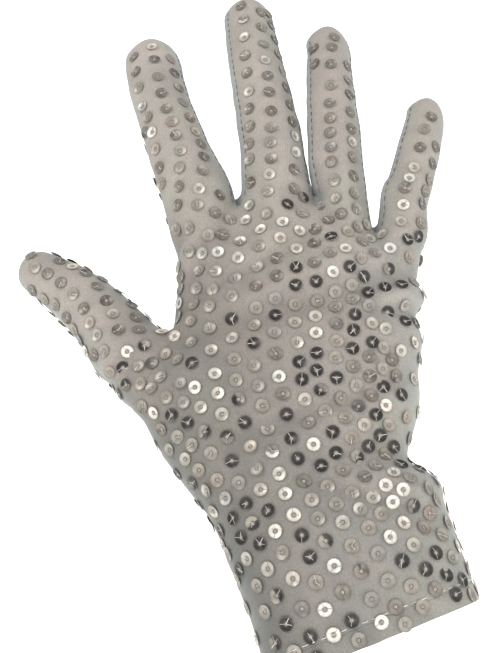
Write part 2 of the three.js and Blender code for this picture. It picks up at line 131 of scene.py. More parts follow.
class Piece(Enum):
    """The cloth pieces, each named after the solid that it stands for."""

    BACK = "back_panel"
    PALM = "palm_panel"
    INDEX_MIDDLE = "fourchette_index_middle"
    MIDDLE_RING = "fourchette_middle_ring"
    RING_LITTLE = "fourchette_ring_little"
    THUMB = "thumb"
    HEM = "cuff_hem"

    @property
    def number(self) -> int:
        """The number that cells carry for the piece."""
        return list(Piece).index(self)

    @property
    def cloth(self) -> str:
        """The name of the piece's cloth."""
        return self.value + "_cloth"

    @property
    def slot(self) -> str:
        """The slot of the piece's finish."""
        usual = "plain_knit" if self in STRIPS else "sequinned_knit"
        return "hem_knit" if self is Piece.HEM else usual


STRIPS = (Piece.INDEX_MIDDLE, Piece.MIDDLE_RING, Piece.RING_LITTLE)
PANELS = (Piece.BACK, Piece.PALM)

# What cells in a hole carry in place of a piece, and what a grid holds in place of a point.
NONE = -1


# Surfaces


def centripetal(points: Array, places: Array) -> Array:
    """A smooth curve through points: a cubic between each two, whose slopes come from the
    neighbours weighted by the square root of their distances.

    Args:
        points: the points to pass, one row each.
        places: where on the curve, from 0 at the first point to the number of the last one.

    Returns:
        One point for each place.
    """
    ends = np.vstack([2 * points[0] - points[1], points, 2 * points[-1] - points[-2]])
    row = np.clip(np.floor(places).astype(int), 0, len(points) - 2)
    share = (places - row)[:, None]
    before, start, stop, after = (ends[row + i] for i in range(4))
    gaps = [np.sqrt(np.linalg.norm(b - a, axis=1))[:, None]
            for a, b in ((before, start), (start, stop), (stop, after))]
    first = (start - before) / gaps[0] - (stop - before) / (gaps[0] + gaps[1])
    last = (after - stop) / gaps[2] - (after - start) / (gaps[1] + gaps[2])
    slope = (stop - start) / gaps[1]
    leave = (first + slope) * gaps[1]
    reach = (last + slope) * gaps[1]
    rise = stop - start
    return (start + leave * share + (3 * rise - 2 * leave - reach) * share ** 2
            + (leave + reach - 2 * rise) * share ** 3)


def unit(vectors: Array) -> Array:
    """The vectors at length one, with none left out at length zero."""
    return vectors / np.maximum(np.linalg.norm(vectors, axis=-1, keepdims=True), 1e-12)


def smooth(values: Array, low: float, high: float) -> Array:
    """A soft step from 0 at low to 1 at high."""
    share = np.clip((values - low) / (high - low), 0, 1)
    return share * share * (3 - 2 * share)


def apart(these: Array, those: Array) -> Array:
    """The distance of each of these points from each of those."""
    return np.linalg.norm(these[:, None] - those, axis=-1)


def reached(line: Array) -> Array:
    """The length of a line from its first point to each of its points."""
    return np.append(0, np.cumsum(np.linalg.norm(np.diff(line, axis=0), axis=1)))


def corners(grid: Array) -> Array:
    """What a grid holds at the four corners of each cell, by row and column."""
    return np.stack([grid[:-1, :-1], grid[:-1, 1:], grid[1:, 1:], grid[1:, :-1]], 2)


@dataclass
class Tube:
    """A round run of sections from root to tip: centre x, y, z, half width and half depth."""

    sections: Array
    rings: int = 6
    dome_ring: float = 0.55

    @property
    def last(self) -> int:
        """The number of the last section, which is the top of the dome."""
        return len(self.sections) - 1

    def places(self) -> Array:
        """Where the rings lie: evenly up to the dome, and one on it."""
        return np.append(np.linspace(0, self.last - 1, self.rings), self.last - 1 + self.dome_ring)

    def ring(self, places: Array, degrees: Array) -> Array:
        """Ellipses square to the centre line: centre + across * width * cosine - inward * depth
        * sine. On the dome both radii shrink as a quarter circle.

        Args:
            places: section numbers, with fractions.
            degrees: angles round the ring. 90 is the middle of the back.

        Returns:
            Points by place and angle.
        """
        body = np.minimum(places, self.last - 1)
        dome = np.sqrt(np.maximum(0, 1 - (places - body) ** 2))
        numbers = np.arange(self.last)
        width = np.interp(body, numbers, self.sections[:-1, 3]) * dome
        depth = np.interp(body, numbers, self.sections[:-1, 4]) * dome
        line = self.sections[:, :3]
        centre = centripetal(line, places)
        step = 0.0001 * self.last
        along = unit(centripetal(line, np.minimum(places + step, self.last))
                     - centripetal(line, np.maximum(places - step, 0)))
        across = unit(np.cross([0.0, 1.0, 0.0], along))
        inward = unit(np.cross(along, across))
        turn = np.radians(degrees)
        return (centre[:, None] + across[:, None] * (width[:, None] * np.cos(turn))[..., None]
                - inward[:, None] * (depth[:, None] * np.sin(turn))[..., None])

    def tip(self) -> Array:
        """The top of the dome."""
        return self.sections[-1, :3]


@dataclass
class Patch:
    """A grid of point numbers. pieces holds the piece of each cell of the first net."""

    name: str
    grid: Array
    pieces: Array
    steps: int = 1

    def cells(self) -> tuple[Array, Array, Array]:
        """The cells of the grid as it is now.

        Returns:
            The piece of each cell, which cells are real, and the real ones' corner numbers.
        """
        pieces = np.repeat(np.repeat(self.pieces, self.steps, 0), self.steps, 1)
        real = pieces != NONE
        return pieces, real, corners(self.grid)[real]


@dataclass
class Net:
    """A net of four-sided meshes and the smooth surface that it stands for."""

    points: Array
    patches: list[Patch]
    lift: Array | None = None

    def cells(self) -> Pair:
        """All cells that aren't in a hole.

        Returns:
            Their corner numbers and their pieces.
        """
        parts = [patch.cells() for patch in self.patches]
        return (np.vstack([quads for _, _, quads in parts]),
                np.concatenate([pieces[real] for pieces, real, _ in parts]))

    def keys(self, a: Array, b: Array) -> Array:
        """One number for each pair of points, whichever comes first."""
        return np.minimum(a, b).astype(np.int64) * len(self.points) + np.maximum(a, b)

    def edges(self, cells: Array) -> tuple[Array, Array, Array, Array]:
        """The sides of the cells, each once.

        Args:
            cells: corner numbers.

        Returns:
            Sorted keys, end points, how many cells share each, and each cell's four edge numbers.
        """
        a, b = cells, np.roll(cells, -1, axis=1)
        keys, first, back, count = np.unique(self.keys(a, b).ravel(), return_index=True,
                                             return_inverse=True, return_counts=True)
        ends = np.stack([a.ravel()[first], b.ravel()[first]], 1)
        return keys, ends, count, back.reshape(cells.shape)

    def gather(self, numbers: Array, values: Array) -> Array:
        """Sums values at the points that the numbers name.

        Args:
            numbers: numbers of points, in any shape.
            values: three values for each of the numbers.

        Returns:
            One row of sums for each point.
        """
        total = np.zeros((len(self.points), 3))
        np.add.at(total, numbers, values)
        return total

    def tally(self, numbers: Array) -> Array:
        """How often the numbers name each point, as a column."""
        return np.bincount(numbers.ravel(), minlength=len(self.points))[:, None]

    def on_seams(self) -> Pair:
        """Compares the pieces of the cells round each point.

        Returns:
            True for each point between two pieces, and the highest number round each.
        """
        cells, pieces = self.cells()
        lowest, highest = np.full((2, len(self.points)), [[len(Piece)], [NONE]])
        np.minimum.at(lowest, cells, pieces[:, None])
        np.maximum.at(highest, cells, pieces[:, None])
        return lowest < highest, highest

    def limit(self) -> Array:
        """Where each point lies on the smooth surface: n squared times the point, four times its
        edge neighbours and the far corners once, over n (n + 5). On a rim it is the point four
        times and its two neighbours, over six.

        Returns:
            One place for each point.
        """
        cells, _ = self.cells()
        _, ends, count, _ = self.edges(cells)
        p = self.points
        beside = self.gather(cells, p[np.roll(cells, -1, 1)] + p[np.roll(cells, 1, 1)])
        opposite = self.gather(cells, p[np.roll(cells, 2, 1)])
        rim = ends[count == 1]
        rim_sum = self.gather(rim, p[rim[:, ::-1]])
        n = self.tally(cells)
        used = np.maximum(n, 1)
        inner = (p * n * n + 2 * beside + opposite) / (used * (used + 5))
        return np.where(n == 0, p, np.where(self.tally(rim) > 0, (4 * p + rim_sum) / 6, inner))

    def fit(self, rounds: int = 12) -> None:
        """Moves the points until the smooth surface passes through where they stood.

        Args:
            rounds: how often the points are moved.
        """
        wanted = self.points.copy()
        for _ in range(rounds):
            self.points = self.points + wanted - self.limit()

    def refine(self) -> "Net":
        """One step of Catmull and Clark: each cell becomes four, and points move to averages.

        Returns:
            The finer net.
        """
        p = self.points
        cells, _ = self.cells()
        keys, ends, count, edge_of = self.edges(cells)
        faces, middles = p[cells].mean(1), p[ends].mean(1)
        face_sum = np.zeros_like(middles)
        np.add.at(face_sum, edge_of, faces[:, None])
        inner = count == 2
        edges = np.where(inner[:, None], (face_sum / 2 + middles) / 2, middles)
        n = self.tally(cells)
        used = np.maximum(n, 1)
        around = self.gather(cells, faces[:, None]) / used
        whole, rim = ends[inner], ends[count == 1]
        middle = self.gather(whole, middles[inner, None])
        spokes = np.maximum(self.tally(whole), 1)
        edge_mean = self.gather(rim, middles[count == 1, None]) / 2
        moved = (around + 2 * middle / spokes + (used - 3) * p) / used
        points = np.where(n == 0, p, np.where(self.tally(rim) > 0, (edge_mean + p) / 2, moved))
        patches = self.finer_patches(keys, (len(p), len(p) + len(edges)))
        return Net(np.vstack([points, edges, faces]), patches)

    def finer_patches(self, keys: Array, offsets: tuple[int, int]) -> list[Patch]:
        """The grids with the new points between the old ones.

        Args:
            keys: sorted keys of the edges.
            offsets: numbers of the first new edge point and of the first new cell point.

        Returns:
            A finer grid for each patch. Places inside a hole hold NONE.
        """
        def edge_number(a: Array, b: Array) -> Array:
            """Finds the new points on edges.

            Args:
                a: points at the edges' first ends.
                b: points at their other ends.

            Returns:
                The new point on each edge, or NONE.
            """
            wanted = self.keys(a, b)
            place = np.minimum(np.searchsorted(keys, wanted), len(keys) - 1)
            found = (keys[place] == wanted) & (a >= 0) & (b >= 0)
            return np.where(found, place + offsets[0], NONE)

        done, finer = offsets[1], []
        for patch in self.patches:
            g = patch.grid
            _, real, quads = patch.cells()
            grid = np.full((2 * g.shape[0] - 1, 2 * g.shape[1] - 1), NONE)
            grid[::2, ::2] = g
            grid[::2, 1::2] = edge_number(g[:, :-1], g[:, 1:])
            grid[1::2, ::2] = edge_number(g[:-1], g[1:])
            grid[1::2, 1::2][real] = done + np.arange(len(quads))
            done += len(quads)
            finer.append(Patch(patch.name, grid, patch.pieces, patch.steps * 2))
        return finer

    @cached_property
    def normals(self) -> Array:
        """Unit normals at the points as they are when these are first asked for, from the crossed
        diagonals of the cells round each.

        Returns:
            One vector for each point.
        """
        cells, _ = self.cells()
        a, b, c, d = (self.points[cells[:, i]] for i in range(4))
        return unit(self.gather(cells, np.cross(c - a, d - b)[:, None]))

    def sheet(self, name: str) -> "Sheetwise":
        """The patch of that name, with the surface at its points."""
        return Sheetwise(next(p for p in self.patches if p.name == name), self.points, self.normals)


# The glove's pattern


@dataclass
class Hand:
    """The hand's cloth from the hem to the knuckles, with a hole for the thumb."""

    sections: Array = field(default_factory=lambda: HAND_SECTIONS)
    forks: Array = field(default_factory=lambda: FORKS)
    roots: tuple[float, ...] = (11.5, 11.5, 10.5, 9.0)
    seam_degrees: float = 30.0
    squareness: float = 2.5
    samples: int = 201
    knuckle_blend: float = 2.5
    knuckle_rise: float = 2.0
    edge_bulge: float = 1.8
    hem_rows: int = 1
    hole_row: int = 10
    hole_rows: int = 2
    hole_columns: int = 2

    def knuckle_line(self, side: int) -> Array:
        """The fingers' roots side by side: forks, and between each two a finger's middle.

        Args:
            side: -1 for the back and 1 for the palm.

        Returns:
            Nine points, the first at the thumb's side.
        """
        height = self.forks[:, 1] if side < 0 else self.forks[:, 2]
        forks = np.stack([self.forks[:, 0], side * self.forks[:, 3], height], 1)
        middles = (forks[:-1] + forks[1:]) / 2
        middles[:, 1] = side * np.array(self.roots)
        middles[:, 2] += self.knuckle_rise
        line = np.empty((len(forks) + len(middles), 3))
        line[::2], line[1::2] = forks, middles
        return line

    def shares(self) -> Array:
        """The share of the knuckle line's length at each of its points."""
        lengths = reached(self.knuckle_line(-1)[:, [0, 2]])
        return lengths / lengths[-1]

    def side(self, side: int) -> Array:
        """Each section's outline on one side: x runs as a power of a cosine and the bulge as a
        power of a sine, at even shares of its length, then bent towards the knuckle line.

        Args:
            side: -1 for the back and 1 for the palm.

        Returns:
            Points by section and column.
        """
        left, right = self.sections[:, None, [0, 1]], self.sections[:, None, [2, 3]]
        depth = side * self.sections[:, None, 4 if side < 0 else 5]

        def outline(t: Array) -> Array:
            """Points of each section at t from 0 to 1.

            Args:
                t: shares of the way across, by section.

            Returns:
                Points by section and share.
            """
            angle = np.radians(self.seam_degrees + (180 - 2 * self.seam_degrees) * t)
            power = 2 / self.squareness
            across = np.sign(np.cos(angle)) * np.abs(np.cos(angle)) ** power
            flat = left + (right - left) * (0.5 - across / 2)[..., None]
            return np.stack([flat[..., 0], depth * np.sin(angle) ** power, flat[..., 1]], -1)

        even = np.linspace(0, 1, self.samples)
        rough = outline(np.broadcast_to(even, (len(self.sections), self.samples)))
        shares = self.shares()
        points = outline(np.array([np.interp(shares * run[-1], run, even)
                                   for run in map(reached, rough)]))
        line = self.knuckle_line(side)
        knuckle = self.sections[:, 6:7]
        straight = line[0] + (line[-1] - line[0]) * shares[:, None]
        points[..., [0, 2]] += ((line - straight) * knuckle[..., None])[..., [0, 2]]
        points[..., 1] += (line[:, 1] - points[..., 1]) * knuckle ** self.knuckle_blend
        return points

    def rows(self) -> Array:
        """All rows of points: back, little finger's edge, palm turned back, thumb's edge."""
        left, right = (np.insert(self.sections[:, i:i + 2], 1, 0, axis=1)[:, None] for i in (0, 2))
        return np.concatenate([self.side(-1), right, self.side(1)[:, ::-1], left], 1)

    def fork_middles(self) -> Array:
        """The points halfway through the hand at its outer edges and at the forks.

        Returns:
            Five points, the first at the thumb's side.
        """
        bulge = np.array([-1.0, 0, 0, 0, 1.0]) * self.edge_bulge
        height = (self.forks[:, 1] + self.forks[:, 2]) / 2
        return np.stack([self.forks[:, 0] + bulge, np.zeros(len(bulge)), height], 1)

    def pieces(self, rows: int, columns: int) -> Array:
        """The piece of each cell, by row and column.

        Args:
            rows: how many rows of cells.
            columns: how many columns of cells.

        Returns:
            Numbers of pieces, and NONE in the thumb's hole.
        """
        row, column = np.indices((rows, columns))
        back = (column < len(self.shares())) | (column == columns - 1)
        found = np.where(back, Piece.BACK.number, Piece.PALM.number)
        found[:self.hem_rows] = Piece.HEM.number
        found[self.hole_row:self.hole_row + self.hole_rows, -self.hole_columns:] = NONE
        return found


@dataclass
class Finger:
    """A finger's tube, with the seams of its side strips."""

    name: str
    order: int
    tube: Tube
    seams: tuple[float, float, float, float] = (148, 8, -40, -150)

    def degrees(self) -> Array:
        """The angles of the eight columns: the seams and the middles between them."""
        seams = np.array([*self.seams, self.seams[0] - 360.0])
        return np.stack([seams[:-1], (seams[:-1] + seams[1:]) / 2], 1).ravel()

    def pieces(self, rows: int) -> Array:
        """Two columns each of back, right side, palm and left side. An outer side without a strip
        is shared by back and palm.

        Args:
            rows: how many rows of cells.

        Returns:
            Numbers of pieces, by row and column.
        """
        right, left = list(PANELS), list(PANELS[::-1])
        if self.order < len(STRIPS):
            right = [STRIPS[self.order]] * 2
        if self.order > 0:
            left = [STRIPS[self.order - 1]] * 2
        row = [Piece.BACK, Piece.BACK, *right, Piece.PALM, Piece.PALM, *left]
        return np.tile([piece.number for piece in row], (rows, 1))


@dataclass
class Pattern:
    """The whole glove's net, made as the solids' own net is made, and then finer."""

    hand: Hand = field(default_factory=Hand)
    fingers: tuple[Finger, ...] = (
        Finger("index", 0, Tube(np.array([
            (-28.9, 0.0, 164.4, 12.9, 10.8), (-31.7, 0.5, 179.4, 11.8, 10.3),
            (-34.3, 2.0, 196.9, 10.9, 9.9), (-36.3, 4.5, 212.9, 10.8, 9.7),
            (-36.8, 7.5, 227.9, 10.9, 9.2), (-36.3, 10.0, 242.6, 0, 0)]))),
        Finger("middle", 1, Tube(np.array([
            (1.1, -0.5, 169.4, 12.0, 10.8), (2.4, 0.0, 185.4, 11.5, 10.3),
            (3.0, 1.5, 204.4, 10.9, 9.9), (3.5, 4.0, 222.4, 10.2, 9.4),
            (4.5, 7.0, 238.9, 9.7, 8.9), (5.5, 9.5, 251.6, 0, 0)]))),
        Finger("ring", 2, Tube(np.array([
            (23.4, 0.0, 162.4, 10.0, 9.8), (26.2, 0.5, 179.4, 9.9, 9.2),
            (28.7, 2.0, 195.9, 9.1, 8.8), (31.4, 4.5, 210.4, 8.7, 8.4),
            (33.0, 6.5, 219.9, 8.3, 8.0), (33.6, 8.5, 230.6, 0, 0)]))),
        Finger("little", 3, Tube(np.array([
            (44.8, 0.5, 145.4, 8.6, 8.0), (49.2, 1.0, 153.4, 8.0, 7.6),
            (54.4, 2.0, 163.4, 7.8, 7.3), (58.8, 3.5, 172.4, 7.6, 7.1),
            (61.8, 5.0, 179.4, 7.1, 6.7), (64.2, 6.0, 188.8, 0, 0)]))),
    )
    thumb: Tube = field(default_factory=lambda: Tube(np.array([
        (-62.6, 4.0, 109.7, 13.6, 12.8), (-69.5, 5.5, 122.4, 12.0, 11.2),
        (-76.6, 7.0, 133.6, 11.2, 10.2), (-84.5, 8.5, 142.7, 10.0, 9.2),
        (-91.8, 9.0, 149.6, 8.5, 7.9), (-98.2, 9.5, 156.6, 0, 0)])))
    levels: int = 3
    seam_dip: float = 0.22
    ripple: float = 0.16
    waves: int = 26
    wave_length: tuple[float, float] = (7, 20)
    still: float = 0.6
    loose: float = 1.3

    def coarse(self) -> Net:
        """The first net: the hand's rows, the knuckle line, four fingers and the thumb.

        Returns:
            The net, before it is fitted.
        """
        store: list[Array] = []

        def add(points: Array) -> Array:
            """Numbers for new points, in their own grid's shape.

            Args:
                points: points in a grid of any shape.

            Returns:
                The numbers in the same grid.
            """
            start = sum(len(s) for s in store)
            store.append(points.reshape(-1, 3))
            return np.arange(start, start + len(store[-1])).reshape(points.shape[:-1])

        rows, middles = add(self.hand.rows()), add(self.hand.fork_middles())
        back, palm = (add(self.hand.knuckle_line(side)) for side in (-1, 1))
        rows = np.vstack([rows, np.concatenate([back, middles[-1:], palm[::-1], middles[:1]])])
        patches = [Patch("hand", np.hstack([rows, rows[:, :1]]),
                         self.hand.pieces(len(rows) - 1, rows.shape[1]))]
        for finger in self.fingers:
            i = finger.order
            root = np.concatenate([back[2 * i:2 * i + 3], middles[i + 1:i + 2],
                                   palm[2 * i:2 * i + 3][::-1], middles[i:i + 1]])
            patches += self.close(finger.name, root, finger.tube, finger.degrees(), add,
                                  finger.pieces(finger.tube.rings + 1), PANELS)
        # The eight points round the thumb's hole.
        up = np.array([0, 1, 2, 2, 2, 1, 0, 0])
        hole = rows[self.hand.hole_row + up, [0, 0, 0, -1, -2, -2, -2, -1]]
        all_thumb = np.full((self.thumb.rings + 1, len(hole)), Piece.THUMB.number)
        patches += self.close("thumb", hole, self.thumb, 135 - 45 * np.arange(len(hole)), add,
                              all_thumb, (Piece.THUMB, Piece.THUMB))
        return Net(np.vstack(store), patches)

    @staticmethod
    def close(name: str, root: Array, tube: Tube, degrees: Array, add: Callable[[Array], Array],
              pieces: Array, tips: tuple[Piece, Piece]) -> list[Patch]:
        """A tube of rings over a root, and the four cells that close its dome.

        Args:
            name: what the tube is.
            root: eight point numbers.
            tube: its sections.
            degrees: angles of its columns.
            add: takes new points and gives their numbers.
            pieces: the piece of each cell.
            tips: the pieces of the cap's back and palm halves.

        Returns:
            The tube's patch and the cap's patch.
        """
        rings = add(tube.ring(tube.places(), degrees))
        rows = np.vstack([root, rings])
        tip = add(tube.tip()[None])[0]
        r = rings[-1]
        cap = np.array([[r[0], r[1], r[2]], [r[7], tip, r[3]], [r[6], r[5], r[4]]])
        halves = np.array([[half.number] * 2 for half in tips])
        return [Patch(name, np.hstack([rows, rows[:, :1]]), pieces), Patch(name + "_tip", cap, halves)]

    def fold_lift(self, points: Array) -> Array:
        """How far the folds lift the cloth: a bell across each fold's line, times one less the
        square of the share along it.

        Args:
            points: places on the cloth.

        Returns:
            One lift for each place.
        """
        start, run = FOLDS[:, 0:2], FOLDS[:, 2:4] - FOLDS[:, 0:2]
        here = points[:, None, [0, 2]] - start
        along = np.clip((here * run).sum(-1) / (run ** 2).sum(-1), 0, 1)
        away = np.linalg.norm(here - run * along[..., None], axis=-1) / FOLDS[:, 4]
        return (FOLDS[:, 5] * (1 - along ** 2) * np.exp(-(away ** 2))).sum(1)

    def ripples(self, points: Array) -> Array:
        """Small waves of loose cloth: a sum of seeded plane waves, 7 to 20 mm long, stronger at
        the wrist, the knuckles and the thumb's root.

        Args:
            points: places on the cloth.

        Returns:
            One lift for each place.
        """
        rng = np.random.default_rng(SEED)
        direction = unit(rng.normal(size=(self.waves, 3)) * (1.0, 0.6, 1.4))
        length = rng.uniform(*self.wave_length, self.waves)
        phase = rng.uniform(0, 2 * math.pi, self.waves)
        turn = points @ (direction / length[:, None]).T * 2 * math.pi + phase
        waviness = np.sin(turn).sum(1) / math.sqrt(self.waves / 2)
        near = np.exp(-(apart(points, LOOSE[:, :3]) / LOOSE[:, 3]) ** 2).max(1)
        return self.ripple * waviness * (self.still + near * self.loose)

    def build(self) -> Net:
        """The fine net on the smooth surface, with its folds, ripples and pressed seams.

        Returns:
            The net. Its lift holds what the folds and the ripples add.
        """
        net = self.coarse()
        net.fit()
        for _ in range(self.levels):
            net = net.refine()
        net.points = net.limit()
        on_back = smooth(-net.normals[:, 1], -0.6, 0.3)
        lift = self.fold_lift(net.points) * on_back + self.ripples(net.points)
        dip = self.seam_dip * net.on_seams()[0]
        return Net(net.points + net.normals * (lift - dip)[:, None], net.patches, lift)


# Fabric coordinates


@dataclass
class Sheetwise:
    """A patch with places on it: rows and columns of the first net, with fractions."""

    patch: Patch
    points: Array
    normals: Array

    def grid(self, values: Array) -> Array:
        """Values at the grid's points. A place inside a hole is not a number.

        Args:
            values: what each point of the net has.

        Returns:
            The same by row and column.
        """
        found = values[self.patch.grid].astype(float)
        found[self.patch.grid < 0] = np.nan
        return found

    def at(self, values: Array, row: Array, column: Array) -> Array:
        """Values between the grid's points, as the mean of the four round each place.

        Args:
            values: three numbers for each point of the net.
            row: rows of the first net.
            column: columns of the first net. They may run past the first column.

        Returns:
            Three numbers for each place.
        """
        g = self.grid(values)
        v = np.clip(row * self.patch.steps, 0, len(g) - GRID_END)
        u = (column * self.patch.steps) % (g.shape[1] - 1)
        i, j = np.floor(v).astype(int), np.floor(u).astype(int)
        a, b = (v - i)[..., None], (u - j)[..., None]
        low = g[i, j] * (1 - b) + g[i, j + 1] * b
        high = g[i + 1, j] * (1 - b) + g[i + 1, j + 1] * b
        return low * (1 - a) + high * a

    def surface(self, row: Array, column: Array) -> Pair:
        """Points of the cloth and its unit normals, at rows and columns of the first net."""
        return self.at(self.points, row, column), unit(self.at(self.normals, row, column))

    def arc(self, middle: float, first: float, last: float) -> Pair:
        """Lengths along every row from a middle column, to each side.

        Args:
            middle: the column that has length 0.
            first: the lowest column wanted. It may be below 0.
            last: the highest column wanted.

        Returns:
            The columns, and the signed lengths by row and column.
        """
        steps = self.patch.steps
        columns = np.arange(round(first * steps), round(last * steps) + 1)
        p = self.grid(self.points)[:, columns % (self.patch.grid.shape[1] - 1)]
        lengths = np.linalg.norm(np.diff(p, axis=1), axis=2)
        centre = round((middle - first) * steps)
        right = np.cumsum(lengths[:, centre:], 1)
        left = -np.cumsum(lengths[:, :centre][:, ::-1], 1)[:, ::-1]
        return columns / steps, np.hstack([left, np.zeros((len(p), 1)), right])

    def rise(self, column: float) -> Array:
        """Length along one column from the first row, at every row of the grid."""
        return reached(self.grid(self.points)[:, round(column * self.patch.steps)])


# Meshes


def new_mesh(name: str, points: Array, quads: Array) -> bpy.types.Object:
    """An object from points in millimetres and four-sided faces.

    Args:
        name: the piece's name.
        points: one row each.
        quads: corner numbers.

    Returns:
        The object, smooth, with sharp edges where faces meet at more than 40 degrees.
    """
    mesh = bpy.data.meshes.new(name)
    mesh.vertices.add(len(points))
    mesh.vertices.foreach_set("co", (points * MM).astype(np.float32).ravel())
    mesh.loops.add(quads.size)
    mesh.loops.foreach_set("vertex_index", quads.astype(np.int32).ravel())
    mesh.polygons.add(len(quads))
    mesh.polygons.foreach_set("loop_start", np.arange(0, quads.size, 4, dtype=np.int32))
    mesh.update(calc_edges=True)
    mesh.validate()
    mesh.polygons.foreach_set("use_smooth", np.ones(len(quads), dtype=bool))
    mesh.set_sharp_from_angle(angle=math.radians(40))
    made = bpy.data.objects.new(name, mesh)
    bpy.context.scene.collection.objects.link(made)
    return made


def dress(made: bpy.types.Object, finish: bpy.types.Material, slot: str, **values: Array) -> None:
    """Gives a piece its finish, its body and what its points carry.

    Args:
        made: the piece.
        finish: its material.
        slot: not used.
        values: attributes by name, with one number for each point.
    """
    for name, numbers in values.items():
        layer = made.data.attributes.new(name, "FLOAT", "POINT")
        layer.data.foreach_set("value", numbers.astype(np.float32))
    made.data.materials.append(finish)
    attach(made, "root")


def repeated(quads: Array, copies: int, size: int) -> Array:
    """One shape's faces for all its copies, whose points follow each other, size for each."""
    return (quads + (np.arange(copies) * size)[:, None, None]).reshape(-1, 4)


def laid(shape: Array, quads: Array, centres: Array, frames: Array) -> Pair:
    """One shape laid at many places: each centre plus the shape's x, y and z along its frame.

    Args:
        shape: the shape's points.
        quads: its faces.
        centres: where the copies lie.
        frames: three unit vectors for each.

    Returns:
        All points and all faces.
    """
    points = centres[:, None] + np.einsum("pi,kij->kpj", shape, frames)
    return points.reshape(-1, 3), repeated(quads, len(centres), len(shape))


def ring_quads(rows: int, columns: int, wrap_rows: bool) -> Array:
    """Faces of a grid that is closed round its columns, and round its rows too if wanted.

    Args:
        rows: how many rows of points.
        columns: how many columns.
        wrap_rows: whether the last row joins the first.

    Returns:
        Corner numbers, one row for each face.
    """
    grid = np.arange(rows * columns).reshape(rows, columns)
    grid = np.hstack([grid, grid[:, :1]])
    return corners(np.vstack([grid, grid[:1]]) if wrap_rows else grid).reshape(-1, 4)


def turned(profile: Array, steps: int) -> Pair:
    """A closed profile turned round the upright axis: radius * cosine, radius * sine, height.

    Args:
        profile: radius and height of each of its points.
        steps: how many columns the turn has.

    Returns:
        Points and faces.
    """
    turn = np.arange(steps) * 2 * math.pi / steps
    radius, height = profile[:, 0, None], profile[:, 1, None]
    points = np.stack([radius * np.cos(turn), radius * np.sin(turn), np.repeat(height, steps, 1)], -1)
    return points.reshape(-1, 3), ring_quads(len(profile), steps, True)[:, ::-1]


def threads(paths: Array, lifts: Array, radius: float) -> Pair:
    """Thin four-sided tubes along many paths of the same number of points: each path point plus
    a square of the radius across it. The ends are closed.

    Args:
        paths: points by path and place.
        lifts: the way up at each path point.
        radius: half a thread.

    Returns:
        All points and all faces.
    """
    count, places = paths.shape[:2]
    along = unit(np.gradient(paths, axis=1))
    across = unit(np.cross(along, lifts))
    above = unit(np.cross(across, along))
    turn = np.radians([45.0, 135.0, 225.0, 315.0])[:, None]
    points = paths[:, :, None] + radius * (np.cos(turn) * across[:, :, None]
                                           + np.sin(turn) * above[:, :, None])
    start = np.arange(4)[None]
    one = np.vstack([ring_quads(places, 4, False)[:, ::-1], start, start[:, ::-1] + 4 * (places - 1)])
    return points.reshape(-1, 3), repeated(one, count, places * 4)


# Materials


@dataclass
class Wire:
    """A node's output that can be used in sums. Each operator adds one Math node."""

    desk: "Desk"
    socket: bpy.types.NodeSocket

    def __add__(self, other: "Wire | float") -> "Wire":
        """Sum, also with the number first."""
        return self.desk.math("ADD", self, other)

    def __sub__(self, other: "Wire | float") -> "Wire":
        """Difference."""
        return self.desk.math("SUBTRACT", self, other)

    def __rsub__(self, other: "Wire | float") -> "Wire":
        """Difference from a number."""
        return self.desk.math("SUBTRACT", other, self)

    def __mul__(self, other: "Wire | float") -> "Wire":
        """Product, also with the number first."""
        return self.desk.math("MULTIPLY", self, other)

    def __truediv__(self, other: "Wire | float") -> "Wire":
        """Quotient."""
        return self.desk.math("DIVIDE", self, other)

    def __rtruediv__(self, other: "Wire | float") -> "Wire":
        """A number over this value."""
        return self.desk.math("DIVIDE", other, self)

    def __pow__(self, other: "Wire | float") -> "Wire":
        """Power."""
        return self.desk.math("POWER", self, other)

    __radd__ = __add__
    __rmul__ = __mul__

    def fraction(self) -> "Wire":
        """What is left over whole numbers."""
        return self.desk.math("FRACT", self)

    def size(self) -> "Wire":
        """The value without its sign."""
        return self.desk.math("ABSOLUTE", self)

    def limited(self) -> "Wire":
        """The value kept from 0 to 1."""
        return self.desk.math("MINIMUM", self.desk.math("MAXIMUM", self, 0.0), 1.0)


